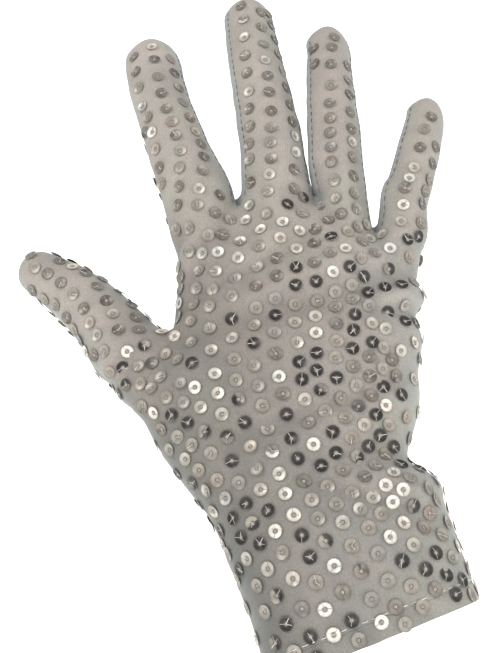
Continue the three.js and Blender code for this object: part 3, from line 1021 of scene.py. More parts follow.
class Desk:
    """Lays out the nodes of one material."""

    def __init__(self, name: str) -> None:
        """Starts an empty material with a Principled shader at its output.

        Args:
            name: the material's name.
        """
        self.material = bpy.data.materials.new(name)
        self.material.use_nodes = True
        self.tree = self.material.node_tree
        self.tree.nodes.clear()
        output = self.tree.nodes.new("ShaderNodeOutputMaterial")
        self.shader = self.tree.nodes.new("ShaderNodeBsdfPrincipled")
        self.tree.links.new(self.shader.outputs[0], output.inputs["Surface"])

    def feed(self, slot: bpy.types.NodeSocket, value: object) -> None:
        """Links a wire to a socket, or sets the socket's value.

        Args:
            slot: the socket.
            value: a wire, a number or a colour.
        """
        if isinstance(value, Wire):
            self.tree.links.new(value.socket, slot)
        else:
            slot.default_value = value

    def node(self, kind: str, settings: dict | None = None, values: dict | None = None,
             out: str | int = 0) -> Wire:
        """Adds a node.

        Args:
            kind: the node's type.
            settings: its own settings, set first. stops sets a colour ramp.
            values: what its sockets get, by name or number.
            out: the output wanted.

        Returns:
            The output as a wire.
        """
        made = self.tree.nodes.new(kind)
        for key, value in (settings or {}).items():
            if key == "stops":
                self.set_stops(made.color_ramp, value)
            else:
                setattr(made, key, value)
        for key, value in (values or {}).items():
            self.feed(made.inputs[key], value)
        return Wire(self, made.outputs[out])

    @staticmethod
    def set_stops(ramp: bpy.types.ColorRamp, stops: list) -> None:
        """Gives a ramp its places and colours.

        Args:
            ramp: the ramp.
            stops: pairs of a place and a colour.
        """
        while len(ramp.elements) < len(stops):
            ramp.elements.new(0.5)
        for element, (place, shade) in zip(ramp.elements, stops):
            element.position = place
            element.color = shade

    def math(self, operation: str, *values: Wire | float) -> Wire:
        """A Math node on values in their order."""
        return self.node("ShaderNodeMath", {"operation": operation}, dict(enumerate(values)))

    def place(self) -> Wire:
        """The place on the object."""
        return self.node("ShaderNodeTexCoord", out="Object")

    def carried(self, name: str) -> Wire:
        """A number that the points of the piece carry."""
        return self.node("ShaderNodeAttribute", {"attribute_name": name}, out="Fac")

    def mix(self, share: Wire | float, first: object, second: object, blend: str = "MIX") -> Wire:
        """A colour between two, or their product where blend is MULTIPLY."""
        return self.node("ShaderNodeMix", {"data_type": "RGBA", "blend_type": blend},
                         {0: share, 6: first, 7: second}, 2)

    def noise(self, vector: Wire, scale: float, detail: float = 2.0) -> Wire:
        """Smooth noise from 0 to 1 on a place."""
        return self.node("ShaderNodeTexNoise", {},
                         {"Vector": vector, "Scale": scale, "Detail": detail}, "Fac")

    def set(self, **values: object) -> None:
        """Sets or links the shader's own sockets. An underscore stands for a space."""
        for key, value in values.items():
            self.feed(self.shader.inputs[key.replace("_", " ")], value)


def colour(*channels: float) -> tuple[float, float, float, float]:
    """A colour given as it is seen on a screen, made linear.

    Args:
        channels: red, green and blue, from 0 to 255.

    Returns:
        Red, green and blue from 0 to 1, and an alpha of 1.
    """
    shares = np.array(channels) / 255
    linear = np.where(shares <= 0.04045, shares / 12.92, ((shares + 0.055) / 1.055) ** 2.4)
    return (*linear.tolist(), 1.0)


@dataclass(frozen=True)
class Knit:
    """A fine stretch knit: columns of loops, sheer and warmer where it is stretched tight."""

    name: str
    warm: Triple
    cool: Triple
    moss: Triple = (154, 155, 142)
    wale_mm: float = 0.55
    course_share: float = 0.85
    relief_mm: float = 0.05
    mottle_scale: float = 75.0
    patch_scale: float = 38.0
    fleck_scale: float = 1500.0

    def make(self) -> bpy.types.Material:
        """Colour runs from cool to warm by the piece's warmth, mottled by noise, and its brightness
        follows
        the painted light and shade that the points carry as depth. The relief is a row of slanted loops:
        rounded ribs by the map's first number, notched by its second, and the grooves between the loops
        are also painted a little darker as painted shade.

        Returns:
            The material.
        """
        desk = Desk(self.name)
        place = desk.place()
        fabric = desk.node("ShaderNodeUVMap", {"uv_map": "fabric"})
        across, along = (desk.node("ShaderNodeSeparateXYZ", {}, {0: fabric}, i) for i in (0, 1))
        rib = ((across / (self.wale_mm * MM)).fraction() - 0.5).size() * 2
        course = self.wale_mm * self.course_share * MM
        loop = ((along / course + rib * 0.55).fraction() - 0.5).size() * 2
        height = (1 - rib ** 3.0) * (0.55 + loop * 0.45)
        mottle = desk.noise(place, self.mottle_scale, 3.0)
        patchy = desk.noise(place, self.patch_scale)
        fleck = desk.noise(place, self.fleck_scale)
        warmth, depth = desk.carried("warmth"), desk.carried("depth")
        share = (warmth + (mottle - 0.5) * 1.3).limited()
        moss = ((patchy - 0.52) * 5.0).limited() * 0.55
        base = desk.mix(moss, desk.mix(share, colour(*self.cool), colour(*self.warm)),
                        colour(*self.moss))
        # Brightness: the painted light and shade of the points' depth, painted shade in the loops'
        # grooves, and the knit's own flecks and mottling.
        shade = depth * (0.88 + height * 0.1 + (fleck - 0.5) * 0.55 + (mottle - 0.5) * 0.3)
        grey = desk.node("ShaderNodeCombineColor", {}, {0: shade, 1: shade, 2: shade})
        tinted = desk.mix(1.0, base, grey, "MULTIPLY")
        bump = desk.node("ShaderNodeBump", {}, {"Strength": 0.8, "Distance": self.relief_mm * MM,
                                                "Height": height + fleck * 1.2})
        desk.set(Base_Color=tinted, Roughness=0.72 + (fleck - 0.5) * 0.2, Normal=bump,
                 Sheen_Weight=0.25, Sheen_Roughness=0.45)
        return desk.material


@dataclass(frozen=True)
class Foil:
    """Thin metallised foil of the sequins, coloured by painted reflections from charcoal to bright."""

    name: str = "sequin_foil"
    # Colours of the painted reflections, from dark to bright, with their places on the ramp.
    painted_reflection_ramp: tuple[tuple[float, Triple], ...] = (
        (0.0, (44, 42, 42)), (0.16, (70, 66, 63)), (0.3, (133, 126, 118)),
        (0.52, (149, 143, 134)), (0.78, (182, 176, 166)), (1.0, (228, 224, 215)))
    tints: tuple[tuple[float, Triple], ...] = (
        (0.0, (0.93, 0.96, 1.0)), (0.25, (0.98, 1.0, 0.97)), (0.6, (1.0, 0.99, 0.97)),
        (1.0, (1.0, 0.95, 0.91)))
    # Colour of wear and painted shadow at the cut edge and round the hole.
    wear_and_shadow: Triple = (98, 92, 85)

    def make(self) -> bpy.types.Material:
        """Colour by the sequin's painted reflection, tinted by its own tint, with fine scratches in its
        gloss, and darker edges: wear on the cut edge with painted shadow at the cup's rim and round its
        hole.

        Returns:
            The material.
        """
        desk = Desk(self.name)
        place = desk.place()
        tone, tint, rim = (desk.carried(name) for name in ("tone", "tint", "rim"))
        # The painted reflection looked up on the ramp.
        painted_reflection_ramp = [(share, colour(*shade)) for share, shade in self.painted_reflection_ramp]
        painted_reflection_colour = desk.node("ShaderNodeValToRGB", {"stops": painted_reflection_ramp}, {0: tone})
        tints = [(share, (*shade, 1.0)) for share, shade in self.tints]
        hue = desk.node("ShaderNodeValToRGB", {"stops": tints}, {0: tint})
        tinted = desk.mix(1.0, painted_reflection_colour, hue, "MULTIPLY")
        scratch = desk.noise(place, 1400.0)
        # Darker edges: wear, and painted shadow at the cup's rim and round its hole, strongest on the
        # darkest and brightest cups. Scratches add wear all over.
        edge = rim * (0.32 + (tone - PaintedReflection.CLOTH.value).size())
        wear_and_shadow = desk.mix((edge + (scratch - 0.5) * 0.35).limited(), tinted, colour(*self.wear_and_shadow))
        desk.set(Base_Color=wear_and_shadow, Metallic=0.4, Roughness=0.26 + scratch * 0.18)
        return desk.material


@dataclass(frozen=True)
class Thread:
    """Spun thread, from a dull shade to a bright one where it catches the light."""

    name: str
    dull: Triple
    shine: Triple
    roughness: float = 0.6

    def make(self) -> bpy.types.Material:
        """The shades by the thread's own brightness, with a fine twist in its light and dark.

        Returns:
            The material.
        """
        desk = Desk(self.name)
        twist = desk.noise(desk.place(), 2200.0, 1.0)
        share = (desk.carried("bright") + (twist - 0.5) * 0.5).limited()
        desk.set(Base_Color=desk.mix(share, colour(*self.dull), colour(*self.shine)),
                 Roughness=self.roughness, Sheen_Weight=0.2)
        return desk.material


@dataclass(frozen=True)
class Paper:
    """The pale floor and sweep."""

    name: str = "studio_paper"
    sheet: Triple = (250, 250, 250)
    glow: float = 0.75

    def make(self) -> bpy.types.Material:
        """White paper that is lit from behind as well.

        Returns:
            The material.
        """
        desk = Desk(self.name)
        desk.set(Base_Color=colour(*self.sheet), Roughness=0.9,
                 Emission_Color=(1.0, 1.0, 1.0, 1.0), Emission_Strength=self.glow)
        return desk.material


# The view and the studio


@dataclass
class View:
    """The camera: it stands low, before the back of the hand, and is tilted as it looks up."""

    target: Triple = (-20.73, 0.0, 110.28)
    distance: float = 317.0
    rise: float = 19.0
    roll: float = -11.4
    focal_px: float = 900.0
    height_px: float = 653.0
    sensor_mm: float = 36.0

    def build(self) -> bpy.types.Object:
        """Makes the camera and sets it as the scene's.

        Returns:
            The camera.
        """
        up, tilt = math.radians(self.rise), math.radians(self.roll)
        look = Vector((0, math.cos(up), math.sin(up)))
        flat = Vector((1, 0, 0))
        above = Vector((0, -math.sin(up), math.cos(up)))
        right = flat * math.cos(tilt) + above * math.sin(tilt)
        top = above * math.cos(tilt) - flat * math.sin(tilt)
        place = (Vector(self.target) - look * self.distance) * MM
        data = bpy.data.cameras.new("camera")
        data.sensor_fit = "VERTICAL"
        data.sensor_height = data.sensor_width = self.sensor_mm
        data.lens = self.sensor_mm * self.focal_px / self.height_px
        data.clip_start = 0.01
        data.clip_end = 20.0
        made = bpy.data.objects.new("camera", data)
        turn = Matrix((right, top, -look)).transposed().to_4x4()
        made.matrix_world = Matrix.Translation(place) @ turn
        bpy.context.scene.collection.objects.link(made)
        bpy.context.scene.camera = made
        return made


@dataclass
class Studio:
    """A pale floor that runs up into a sweep, soft lamps, and a light grey room, in metres."""

    floor: float = -0.05
    half_width: float = 3.0
    front: float = -2.0
    bend: float = 1.2
    radius: float = 0.8
    top: float = 3.2
    room: float = 0.62
    aim: Triple = (-0.02, 0, 0.11)

    def sweep(self) -> bpy.types.Object:
        """One sheet: flat floor, a quarter circle and an upright back, carried along x.

        Returns:
            The sheet.
        """
        turn = np.linspace(0, math.pi / 2, 17)
        back = self.bend + self.radius
        y = np.concatenate([[self.front], self.bend + self.radius * np.sin(turn), [back]])
        z = np.concatenate([[0], self.radius * (1 - np.cos(turn)), [self.top]]) + self.floor
        x = np.array([-self.half_width, self.half_width])
        points = np.stack([*np.meshgrid(x, y), np.meshgrid(x, z)[1]], -1).reshape(-1, 3)
        quads = corners(np.arange(len(points)).reshape(-1, 2)).reshape(-1, 4)
        made = new_mesh("paper_sweep", points / MM, quads)
        made.data.materials.append(Paper().make())
        return made

    def lamp(self, name: str, place: Triple, size: float, power: float) -> None:
        """A square soft lamp that looks at the middle of the glove.

        Args:
            name: its name.
            place: where it stands.
            size: its width.
            power: its watts.
        """
        data = bpy.data.lights.new(name, "AREA")
        data.size = size
        data.energy = power
        made = bpy.data.objects.new(name, data)
        turn = (Vector(self.aim) - Vector(place)).to_track_quat("-Z", "Y").to_matrix().to_4x4()
        made.matrix_world = Matrix.Translation(place) @ turn
        bpy.context.scene.collection.objects.link(made)

    def build(self) -> None:
        """Makes the sweep, the lamps and the room's light."""
        self.sweep()
        self.lamp("key_lamp", (-0.7, -0.9, 0.95), 0.7, 7.0)
        self.lamp("fill_lamp", (0.9, -0.8, 0.35), 0.9, 3.0)
        world = bpy.data.worlds.new("room")
        world.use_nodes = True
        light = world.node_tree.nodes["Background"].inputs
        light["Color"].default_value = (1, 1, 1, 1)
        light["Strength"].default_value = self.room
        bpy.context.scene.world = world
        shown = bpy.context.scene.view_settings
        shown.view_transform = "Standard"
        shown.look = "None"
        shown.exposure = 0.0
        shown.gamma = 1.0


# Cloth


@dataclass
class Cloth:
    """The seven cloth pieces: closed shells cut from the one smooth surface."""

    net: Net
    wall: float = 1.0
    hem_wall: float = 2.0
    seam_gap: float = 0.06
    wale_step: float = 8.0
    knits: tuple[Knit, ...] = (
        Knit("sequinned_knit", (163, 154, 146), (148, 149, 142)),
        Knit("plain_knit", (160, 159, 155), (149, 152, 151), (155, 157, 152), 0.45),
        Knit("hem_knit", (162, 154, 146), (148, 148, 142)),
    )

    @cached_property
    def uv(self) -> Array:
        """Map pairs for the corners of all cells."""
        return np.vstack([self.patch_uv(patch) for patch in self.net.patches])

    def patch_uv(self, patch: Patch) -> Array:
        """Map pairs for the corners of a patch's cells, in metres: columns at even steps, and rows
        by the mean length of the patch's columns.

        Args:
            patch: which patch.

        Returns:
            Four pairs for each real cell.
        """
        steps = np.linalg.norm(np.diff(self.net.points[patch.grid], axis=0), axis=2)
        steps[(patch.grid[:-1] < 0) | (patch.grid[1:] < 0)] = np.nan
        rise = np.append(0, np.cumsum(np.nanmean(steps, axis=1)))
        across = np.arange(patch.grid.shape[1]) / patch.steps * self.wale_step
        return corners(np.stack(np.meshgrid(across, rise), -1) * MM)[patch.cells()[1]]

    def shell(self, piece: Piece) -> tuple[Array, Array, Array, Array]:
        """One piece as a closed shell: its cells outside, the same a wall's depth inside, and a
        strip round its edges, which are drawn in by half of the seam's gap.

        Args:
            piece: which piece.

        Returns:
            Points, faces, map pairs by face corner, and which net point each point came from.
        """
        cells, pieces = self.net.cells()
        own = pieces == piece.number
        uv = self.uv[own]
        used, local = np.unique(cells[own], return_inverse=True)
        quads = local.reshape(-1, 4)
        points, normals = self.net.points[used], self.net.normals[used]
        start, end = quads, np.roll(quads, -1, axis=1)
        _, first, count = np.unique(self.net.keys(start, end), return_index=True, return_counts=True)
        rim = first[count == 1]
        a, b = start.ravel()[rim], end.ravel()[rim]
        inward = np.zeros_like(points)
        for ends in (a, b):
            np.add.at(inward, ends, unit(np.cross(normals[ends], points[b] - points[a])))
        outside = points + unit(inward) * self.seam_gap / 2
        inside = outside - normals * (self.hem_wall if piece is Piece.HEM else self.wall)
        size = len(used)
        edge = np.stack([b, a, a + size, b + size], 1)
        here, after = uv.reshape(-1, 2)[rim], np.roll(uv, -1, axis=1).reshape(-1, 2)[rim]
        return (np.vstack([outside, inside]), np.vstack([quads, quads[:, ::-1] + size, edge]),
                np.vstack([uv, uv[:, ::-1], np.stack([after, here, here, after], 1)]),
                np.tile(used, 2))

    def warmth(self) -> Array:
        """How warm the cloth looks at each point: high where it faces front or back, low at the
        sides, and less at the cuff and at the little finger's side of the hand.

        Returns:
            One number for each point of the net.
        """
        x, _, z = self.net.points.T
        facing = smooth(np.abs(self.net.normals[:, 1]), 0.35, 0.98)
        cuff = smooth(z, 0, 130)
        right = smooth(x, 0, 42) * smooth(-z, -140, -118)
        return facing * (0.45 + 0.55 * cuff) * (1 - 0.6 * right)

    def depth(self) -> Array:
        """Painted light and shade on the cloth, as how light it is at each point: lightest on the fingers
        and the thumb, where the knit is stretched over them and painted lighter; deeper on the hand as
        painted shade, most towards the thumb's side, at the cuff and along the thumb's side of the wrist;
        painted highlights on the back's bulge and the index finger's tip; and painted shade in the folds
        and painted light on their backs, weaker at the wrist's notch.

        Returns:
            One number for each point of the net.
        """
        x, _, z = self.net.points.T
        knuckles = np.interp(x, [13, 48], [150, 131])
        finger = smooth(z - knuckles, -34, 18)
        thumb = smooth(-x, 46, 74) * smooth(z, 85, 105)
        cuff_side = smooth(-x, 12, 32) * smooth(-z, -68, -30)
        thumb_side = np.interp(z, [0, 30, 60, 90], [-36, -41, -51, -64])
        wrist_side = smooth(thumb_side - x, -20, -2) * smooth(-z, -95, -60)
        cuff = smooth(-z, -32, -6)
        # A painted highlight on the back's bulge.
        bulge = np.exp(-((x - 25) ** 2 + (z - 60) ** 2) / 450)
        # A painted highlight on the index finger's tip.
        painted_tip_highlight = np.exp(-((x + 32) ** 2 + (z - 230) ** 2) / 80)
        # Painted shade over the hand: darker towards the thumb's side, at the cuff and along the thumb's
        # side of the wrist.
        hand = np.clip(0.765 + 0.0055 * (x + 10), 0.63, 0.97) - 0.05 * cuff_side
        hand = hand - (0.1 * wrist_side + 0.035 * cuff) + 0.08 * bulge
        # Painted shade in the folds and painted light on their ridges, weaker at the wrist's notch.
        notch = smooth(x, 10, 26) * smooth(-z, -74, -60)
        painted_fold_shade = 1 + (0.14 - 0.11 * notch) * np.clip(self.net.lift, -1.2, 1.0)
        return (hand + (1 - hand) * np.maximum(finger, thumb) + 0.24 * painted_tip_highlight) * painted_fold_shade

    def build(self) -> list[bpy.types.Object]:
        """Makes and dresses the pieces, and hides the solid that each stands for.

        Returns:
            The seven pieces.
        """
        finishes = {knit.name: knit.make() for knit in self.knits}
        # depth carries the cloth's painted light and shade to the knit.
        warmth, depth, made = self.warmth(), self.depth(), []
        for piece in Piece:
            points, faces, uv, source = self.shell(piece)
            cloth = new_mesh(piece.cloth, points, faces)
            layer = cloth.data.uv_layers.new(name="fabric")
            layer.data.foreach_set("uv", uv.astype(np.float32).ravel())
            dress(cloth, finishes[piece.slot], piece.slot, warmth=warmth[source],
                  depth=depth[source])
            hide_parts(piece.value)
            made.append(cloth)
            LOG.info("%s: %d faces", cloth.name, len(faces))
        return made


# Sequins


# Rows of sequins on the side that shows first, by patch: how many, and places on a smooth line,
# each with its x and the patch's row. The sequins are spread evenly over the places.
ROWS: dict[str, tuple[tuple[int, Places], ...]] = {
    "hand": (
        (4, ((-52.3, 7.29), (-55.9, 9.38))),
        (7, ((-46.7, 6.12), (-51.9, 10.49))),
        (15, ((-35.0, 0.95), (-40.7, 4.75), (-45.5, 8.19), (-45.3, 11.57))),
        (19, ((-29.5, 0.71), (-34.7, 4.2), (-39.8, 7.52), (-40.5, 10.82), (-32.9, 13.4))),
        (19, ((-25.6, 1.05), (-30.2, 4.53), (-34.0, 7.91), (-33.4, 11.08), (-25.4, 13.6))),
        (20, ((-19.3, 0.52), (-22.9, 3.51), (-26.4, 6.42), (-27.6, 9.24), (-24.8, 11.7), (-16.5, 13.79))),
        (20, ((-13.7, 1.11), (-16.6, 3.87), (-19.9, 6.86), (-20.5, 9.54), (-16.1, 11.95), (-8.9, 13.94))),
        (21, ((-6.6, 0.53), (-9.9, 3.64), (-13.2, 6.73), (-13.6, 9.51), (-9.0, 11.99), (-1.0, 14.04))),
        (19, ((0.5, 0.93), (-4.2, 4.45), (-7.3, 7.81), (-4.8, 10.75), (1.6, 13.29))),
        (20, ((7.6, 0.42), (3.4, 3.44), (-0.2, 6.42), (-1.3, 8.96), (3.4, 11.3), (7.8, 13.4))),
        (19, ((13.7, 0.86), (8.5, 3.64), (5.1, 6.53), (4.7, 8.87), (9.8, 11.09), (12.7, 13.14))),
        (19, ((18.8, 1.23), (13.2, 3.99), (9.7, 6.86), (10.7, 9.13), (16.1, 11.33), (18.1, 13.37))),
        (19, ((25.0, 0.77), (19.0, 3.63), (14.3, 6.49), (15.2, 8.73), (21.3, 10.97), (22.2, 13.18))),
        (16, ((29.9, 0.5), (25.3, 2.75), (19.8, 5.09), (17.9, 7.26), (20.4, 9.1), (27.3, 10.98))),
        (16, ((33.0, 0.79), (28.3, 3.12), (23.9, 5.48), (24.4, 7.51), (24.6, 9.39), (33.5, 11.22))),
    ),
    "index": (
        (9, ((-40.6, 1.57), (-40.6, 2.94), (-42.6, 4.31), (-43.0, 6.17))),
        (6, ((-42.6, 2.6), (-44.7, 4.4), (-45.2, 6.0))),
        (11, ((-36.2, 0.6), (-31.8, 2.35), (-34.6, 3.94), (-35.3, 6.32))),
        (11, ((-29.3, 0.16), (-23.4, 2.01), (-27.2, 3.61), (-29.3, 5.77))),
    ),
    "middle": (
        (11, ((-8.7, 0.46), (-4.2, 2.26), (-0.4, 4.03), (2.8, 6.26))),
        (12, ((-3.2, 0.02), (1.2, 1.21), (4.7, 2.67), (6.6, 4.03), (9.6, 5.89))),
        (7, ((5.8, 0.14), (10.5, 1.64), (12.1, 3.21))),
        (5, ((12.4, 3.8), (12.5, 5.0), (12.6, 6.1))),
    ),
    "ring": (
        (11, ((19.7, 0.11), (22.5, 1.48), (27.9, 3.12), (35.5, 5.81))),
        (10, ((25.6, 0.09), (29.1, 1.08), (33.0, 2.55), (37.3, 4.38))),
        (2, ((25.2, 4.41), (27.1, 5.38))),
    ),
    "little": (
        (8, ((40.1, 0.02), (48.8, 2.03), (62.8, 5.34))),
        (6, ((47.3, 0.19), (53.6, 1.87), (61.1, 3.81))),
    ),
    "thumb": (
        (8, ((-70.3, 1.15), (-77.1, 3.15), (-92.4, 5.97))),
        (8, ((-62.7, 0.78), (-68.4, 2.85), (-83.2, 5.24))),
        (7, ((-77.8, 1.83), (-82.7, 3.22), (-95.1, 5.59))),
        (4, ((-56.3, 0.51), (-59.3, 2.07))),
    ),
}

# Single sequins between the rows, round the knuckles, at the edges and at the thumb's root, by
# patch: the x and the patch's row of each.
SINGLES: dict[str, Places] = {
    "hand": (
        (-33.3, 14.74), (-27.0, 14.23), (-22.3, 14.08), (-35.1, 14.16), (-30.8, 13.86), (-23.8, 14.81),
        (-18.8, 14.55), (-10.7, 14.93), (-13.4, 14.46), (-5.9, 14.38), (2.1, 14.62), (4.0, 13.77),
        (8.9, 14.98), (6.6, 14.37), (13.9, 14.86), (15.0, 14.27), (9.9, 13.87), (14.6, 13.67),
        (20.0, 14.7), (24.5, 14.68), (20.6, 14.13), (24.5, 14.04), (28.2, 14.68), (33.3, 14.98),
        (33.4, 13.63), (28.1, 13.54), (40.4, 14.21), (45.2, 14.61), (39.5, 13.33), (30.8, 12.77),
        (34.0, 12.86), (25.7, 12.67), (34.4, 12.06), (28.3, 12.04), (28.2, 9.62), (34.0, 9.89),
        (17.5, 10.23), (21.6, 7.86), (19.7, 6.97), (20.8, 5.06), (32.2, 10.58), (-37.4, 3.64),
        (-30.5, 1.78), (-25.8, 1.36), (-41.4, 4.55), (-59.8, 9.78), (-55.7, 10.2), (-49.2, 11.12)),
    "index": ((-38.4, 0.1), (-20.7, 0.37)),
    "middle": ((-8.5, 0.11),),
    "ring": ((13.5, 0.16), (28.4, 0.07)),
    "little": ((34.7, 0.47),),
    "thumb": (
        (-59.6, 0.12), (-64.6, 0.36), (-69.3, 0.75), (-54.7, 0.12), (-51.5, 0.23), (-49.7, 0.54),
        (-59.4, 0.35), (-64.5, 0.63), (-94.1, 6.98)),
}

# The last column of each patch's side that shows first.
LAST_COLUMNS = {"hand": 9.0, "index": 2.5, "middle": 2.5, "ring": 2.5, "little": 2.5, "thumb": 3.0}


@dataclass(frozen=True)
class Row:
    """One row of sequins."""

    patch: str
    count: int
    places: Places

    def line(self) -> Array:
        """The sequins' x and patch row: the places, or even steps on a smooth line through them.

        Returns:
            One pair for each sequin.
        """
        flat = np.array(self.places)
        if self.count <= len(flat):
            return flat
        steps = np.linspace(0, len(flat) - 1, self.count)
        if len(flat) > 2:
            return centripetal(flat, steps)
        return flat[0] + (flat[-1] - flat[0]) * steps[:, None]

    def sites(self, sheet: Sheetwise) -> Pair:
        """The places of the row's sequins: for each the column whose x is the line's own. The
        columns run over the side that shows first.

        Args:
            sheet: the patch.

        Returns:
            Rows and columns of the first net.
        """
        line, steps = self.line(), sheet.patch.steps
        columns = np.arange(-steps, round(LAST_COLUMNS[self.patch] * steps) + 1)
        grid = sheet.grid(sheet.points)[..., 0]
        x = grid[:, columns % (grid.shape[1] - 1)]
        v = np.clip(line[:, 1] * steps, 0, len(x) - GRID_END)
        low = np.floor(v).astype(int)
        here = x[low] + (x[low + 1] - x[low]) * (v - low)[:, None]
        here = np.maximum.accumulate(np.where(np.isnan(here), -FAR, here), axis=1)
        k = np.clip((here < line[:, :1]).sum(1), 1, len(columns) - 1)
        number = np.arange(len(k))
        before, after = here[number, k - 1], here[number, k]
        share = np.clip((line[:, 0] - before) / np.maximum(after - before, 1e-6), 0, 1)
        return v / steps, (columns[k - 1] + share) / steps


@dataclass(frozen=True)
class Field:
    """The sequins of a side that the rows leave bare: straight columns, each half a step from the
    next, at even distances along the cloth from a middle column."""

    patch: str
    middle: float
    first: float
    last: float
    pitch: float
    spacing: float = 7.1
    rows: tuple[float, float] = (0.3, 6.8)

    def sites(self, sheet: Sheetwise) -> Pair:
        """The places of the sequins. Each column lies at its own arc on every row of the grid.

        Args:
            sheet: the patch.

        Returns:
            Rows and columns of the first net.
        """
        columns, arcs = sheet.arc(self.middle, self.first, self.last)
        rise = sheet.rise(self.middle)
        rows = np.arange(len(arcs)) / sheet.patch.steps
        beyond = np.sign(columns - self.middle) * FAR + np.arange(len(columns))
        safe = np.where(np.isnan(arcs), beyond, arcs)
        reach = int(np.nanmax(np.abs(arcs)) // self.spacing) + 1
        found = []
        for number in range(-reach, reach + 1):
            goal = np.arange(0.25 if number % 2 else 0.75, rise[-1] / self.pitch) * self.pitch
            row = np.interp(goal, rise, rows)
            wanted = number * self.spacing
            place = np.array([np.interp(wanted, s, columns, np.nan, np.nan) for s in safe])
            place[(wanted < np.nanmin(arcs, axis=1)) | (wanted > np.nanmax(arcs, axis=1))] = np.nan
            row = row[(row >= self.rows[0]) & (row <= self.rows[1])]
            found.append(np.stack([row, np.interp(row, rows, place)]))
        row, column = np.hstack(found)
        good = ~np.isnan(column)
        return row[good], column[good]


class PaintedReflection(Enum):
    """The painted reflections of a sequin's cup, from dark to bright, as places on the foil's ramp."""

    CHARCOAL = 0.0
    SMOKE = 0.3
    CLOTH = 0.52
    SATIN = 0.78
    SILVER = 1.0


# Shares of the five painted reflections where the sequins lean to one of them.
LEANS: dict[PaintedReflection, Shares] = {
    PaintedReflection.CHARCOAL: (0.68, 0.12, 0.2, 0.0, 0.0),
    PaintedReflection.CLOTH: (0.05, 0.22, 0.6, 0.1, 0.03),
    PaintedReflection.SILVER: (0.03, 0.03, 0.14, 0.3, 0.5),
}

# Round areas of the back where the sequins lean to one painted reflection: x, z and radius.
AREAS: dict[PaintedReflection, tuple[Triple, ...]] = {
    PaintedReflection.CLOTH: (
        (-5, 42, 9), (-3, 27, 6), (6, 20, 8), (14, 34, 6), (-33, 107, 9), (-15, 119, 9), (7, 107, 10),
        (-34, 145, 9), (18, 144, 10), (6, 75, 7), (-25, 87, 5), (-14, 79, 6), (-29, 122, 8)),
    PaintedReflection.CHARCOAL: (
        (-33, 58, 7), (-13, 55, 6), (-33, 42, 8), (-13, 32, 7), (-25, 18, 7), (-8, 8, 4), (22, 19, 7),
        (25, 11, 6), (-6, 2, 4), (-26, 5, 4), (2, 63, 6), (14, 59, 5), (2, 149, 4), (-27, 115, 6),
        (-41, 95, 5), (-34, 91, 4), (-27, 94, 4), (-14, 98, 6), (-20, 75, 4), (0, 84, 8), (19, 85, 7),
        (18, 102, 4), (40, 127, 4), (2, 118, 7), (24, 118, 8), (-1, 77, 5), (-45, 80, 7), (-68, 99, 5)),
    PaintedReflection.SILVER: (
        (-22, 50, 5), (-18, 41, 4), (-24, 33, 4), (-9, 24, 6), (-22, 23, 4), (11, 28, 6), (13, 43, 5),
        (-15, 12, 4), (0, 5, 4), (-17, 134, 5), (-2, 137, 5), (-9, 113, 4), (0, 100, 6), (-37, 86, 6),
        (-34, 77, 4), (-13, 86, 4), (-7, 74, 4), (41, 136, 6), (-28, 127, 4)),
}


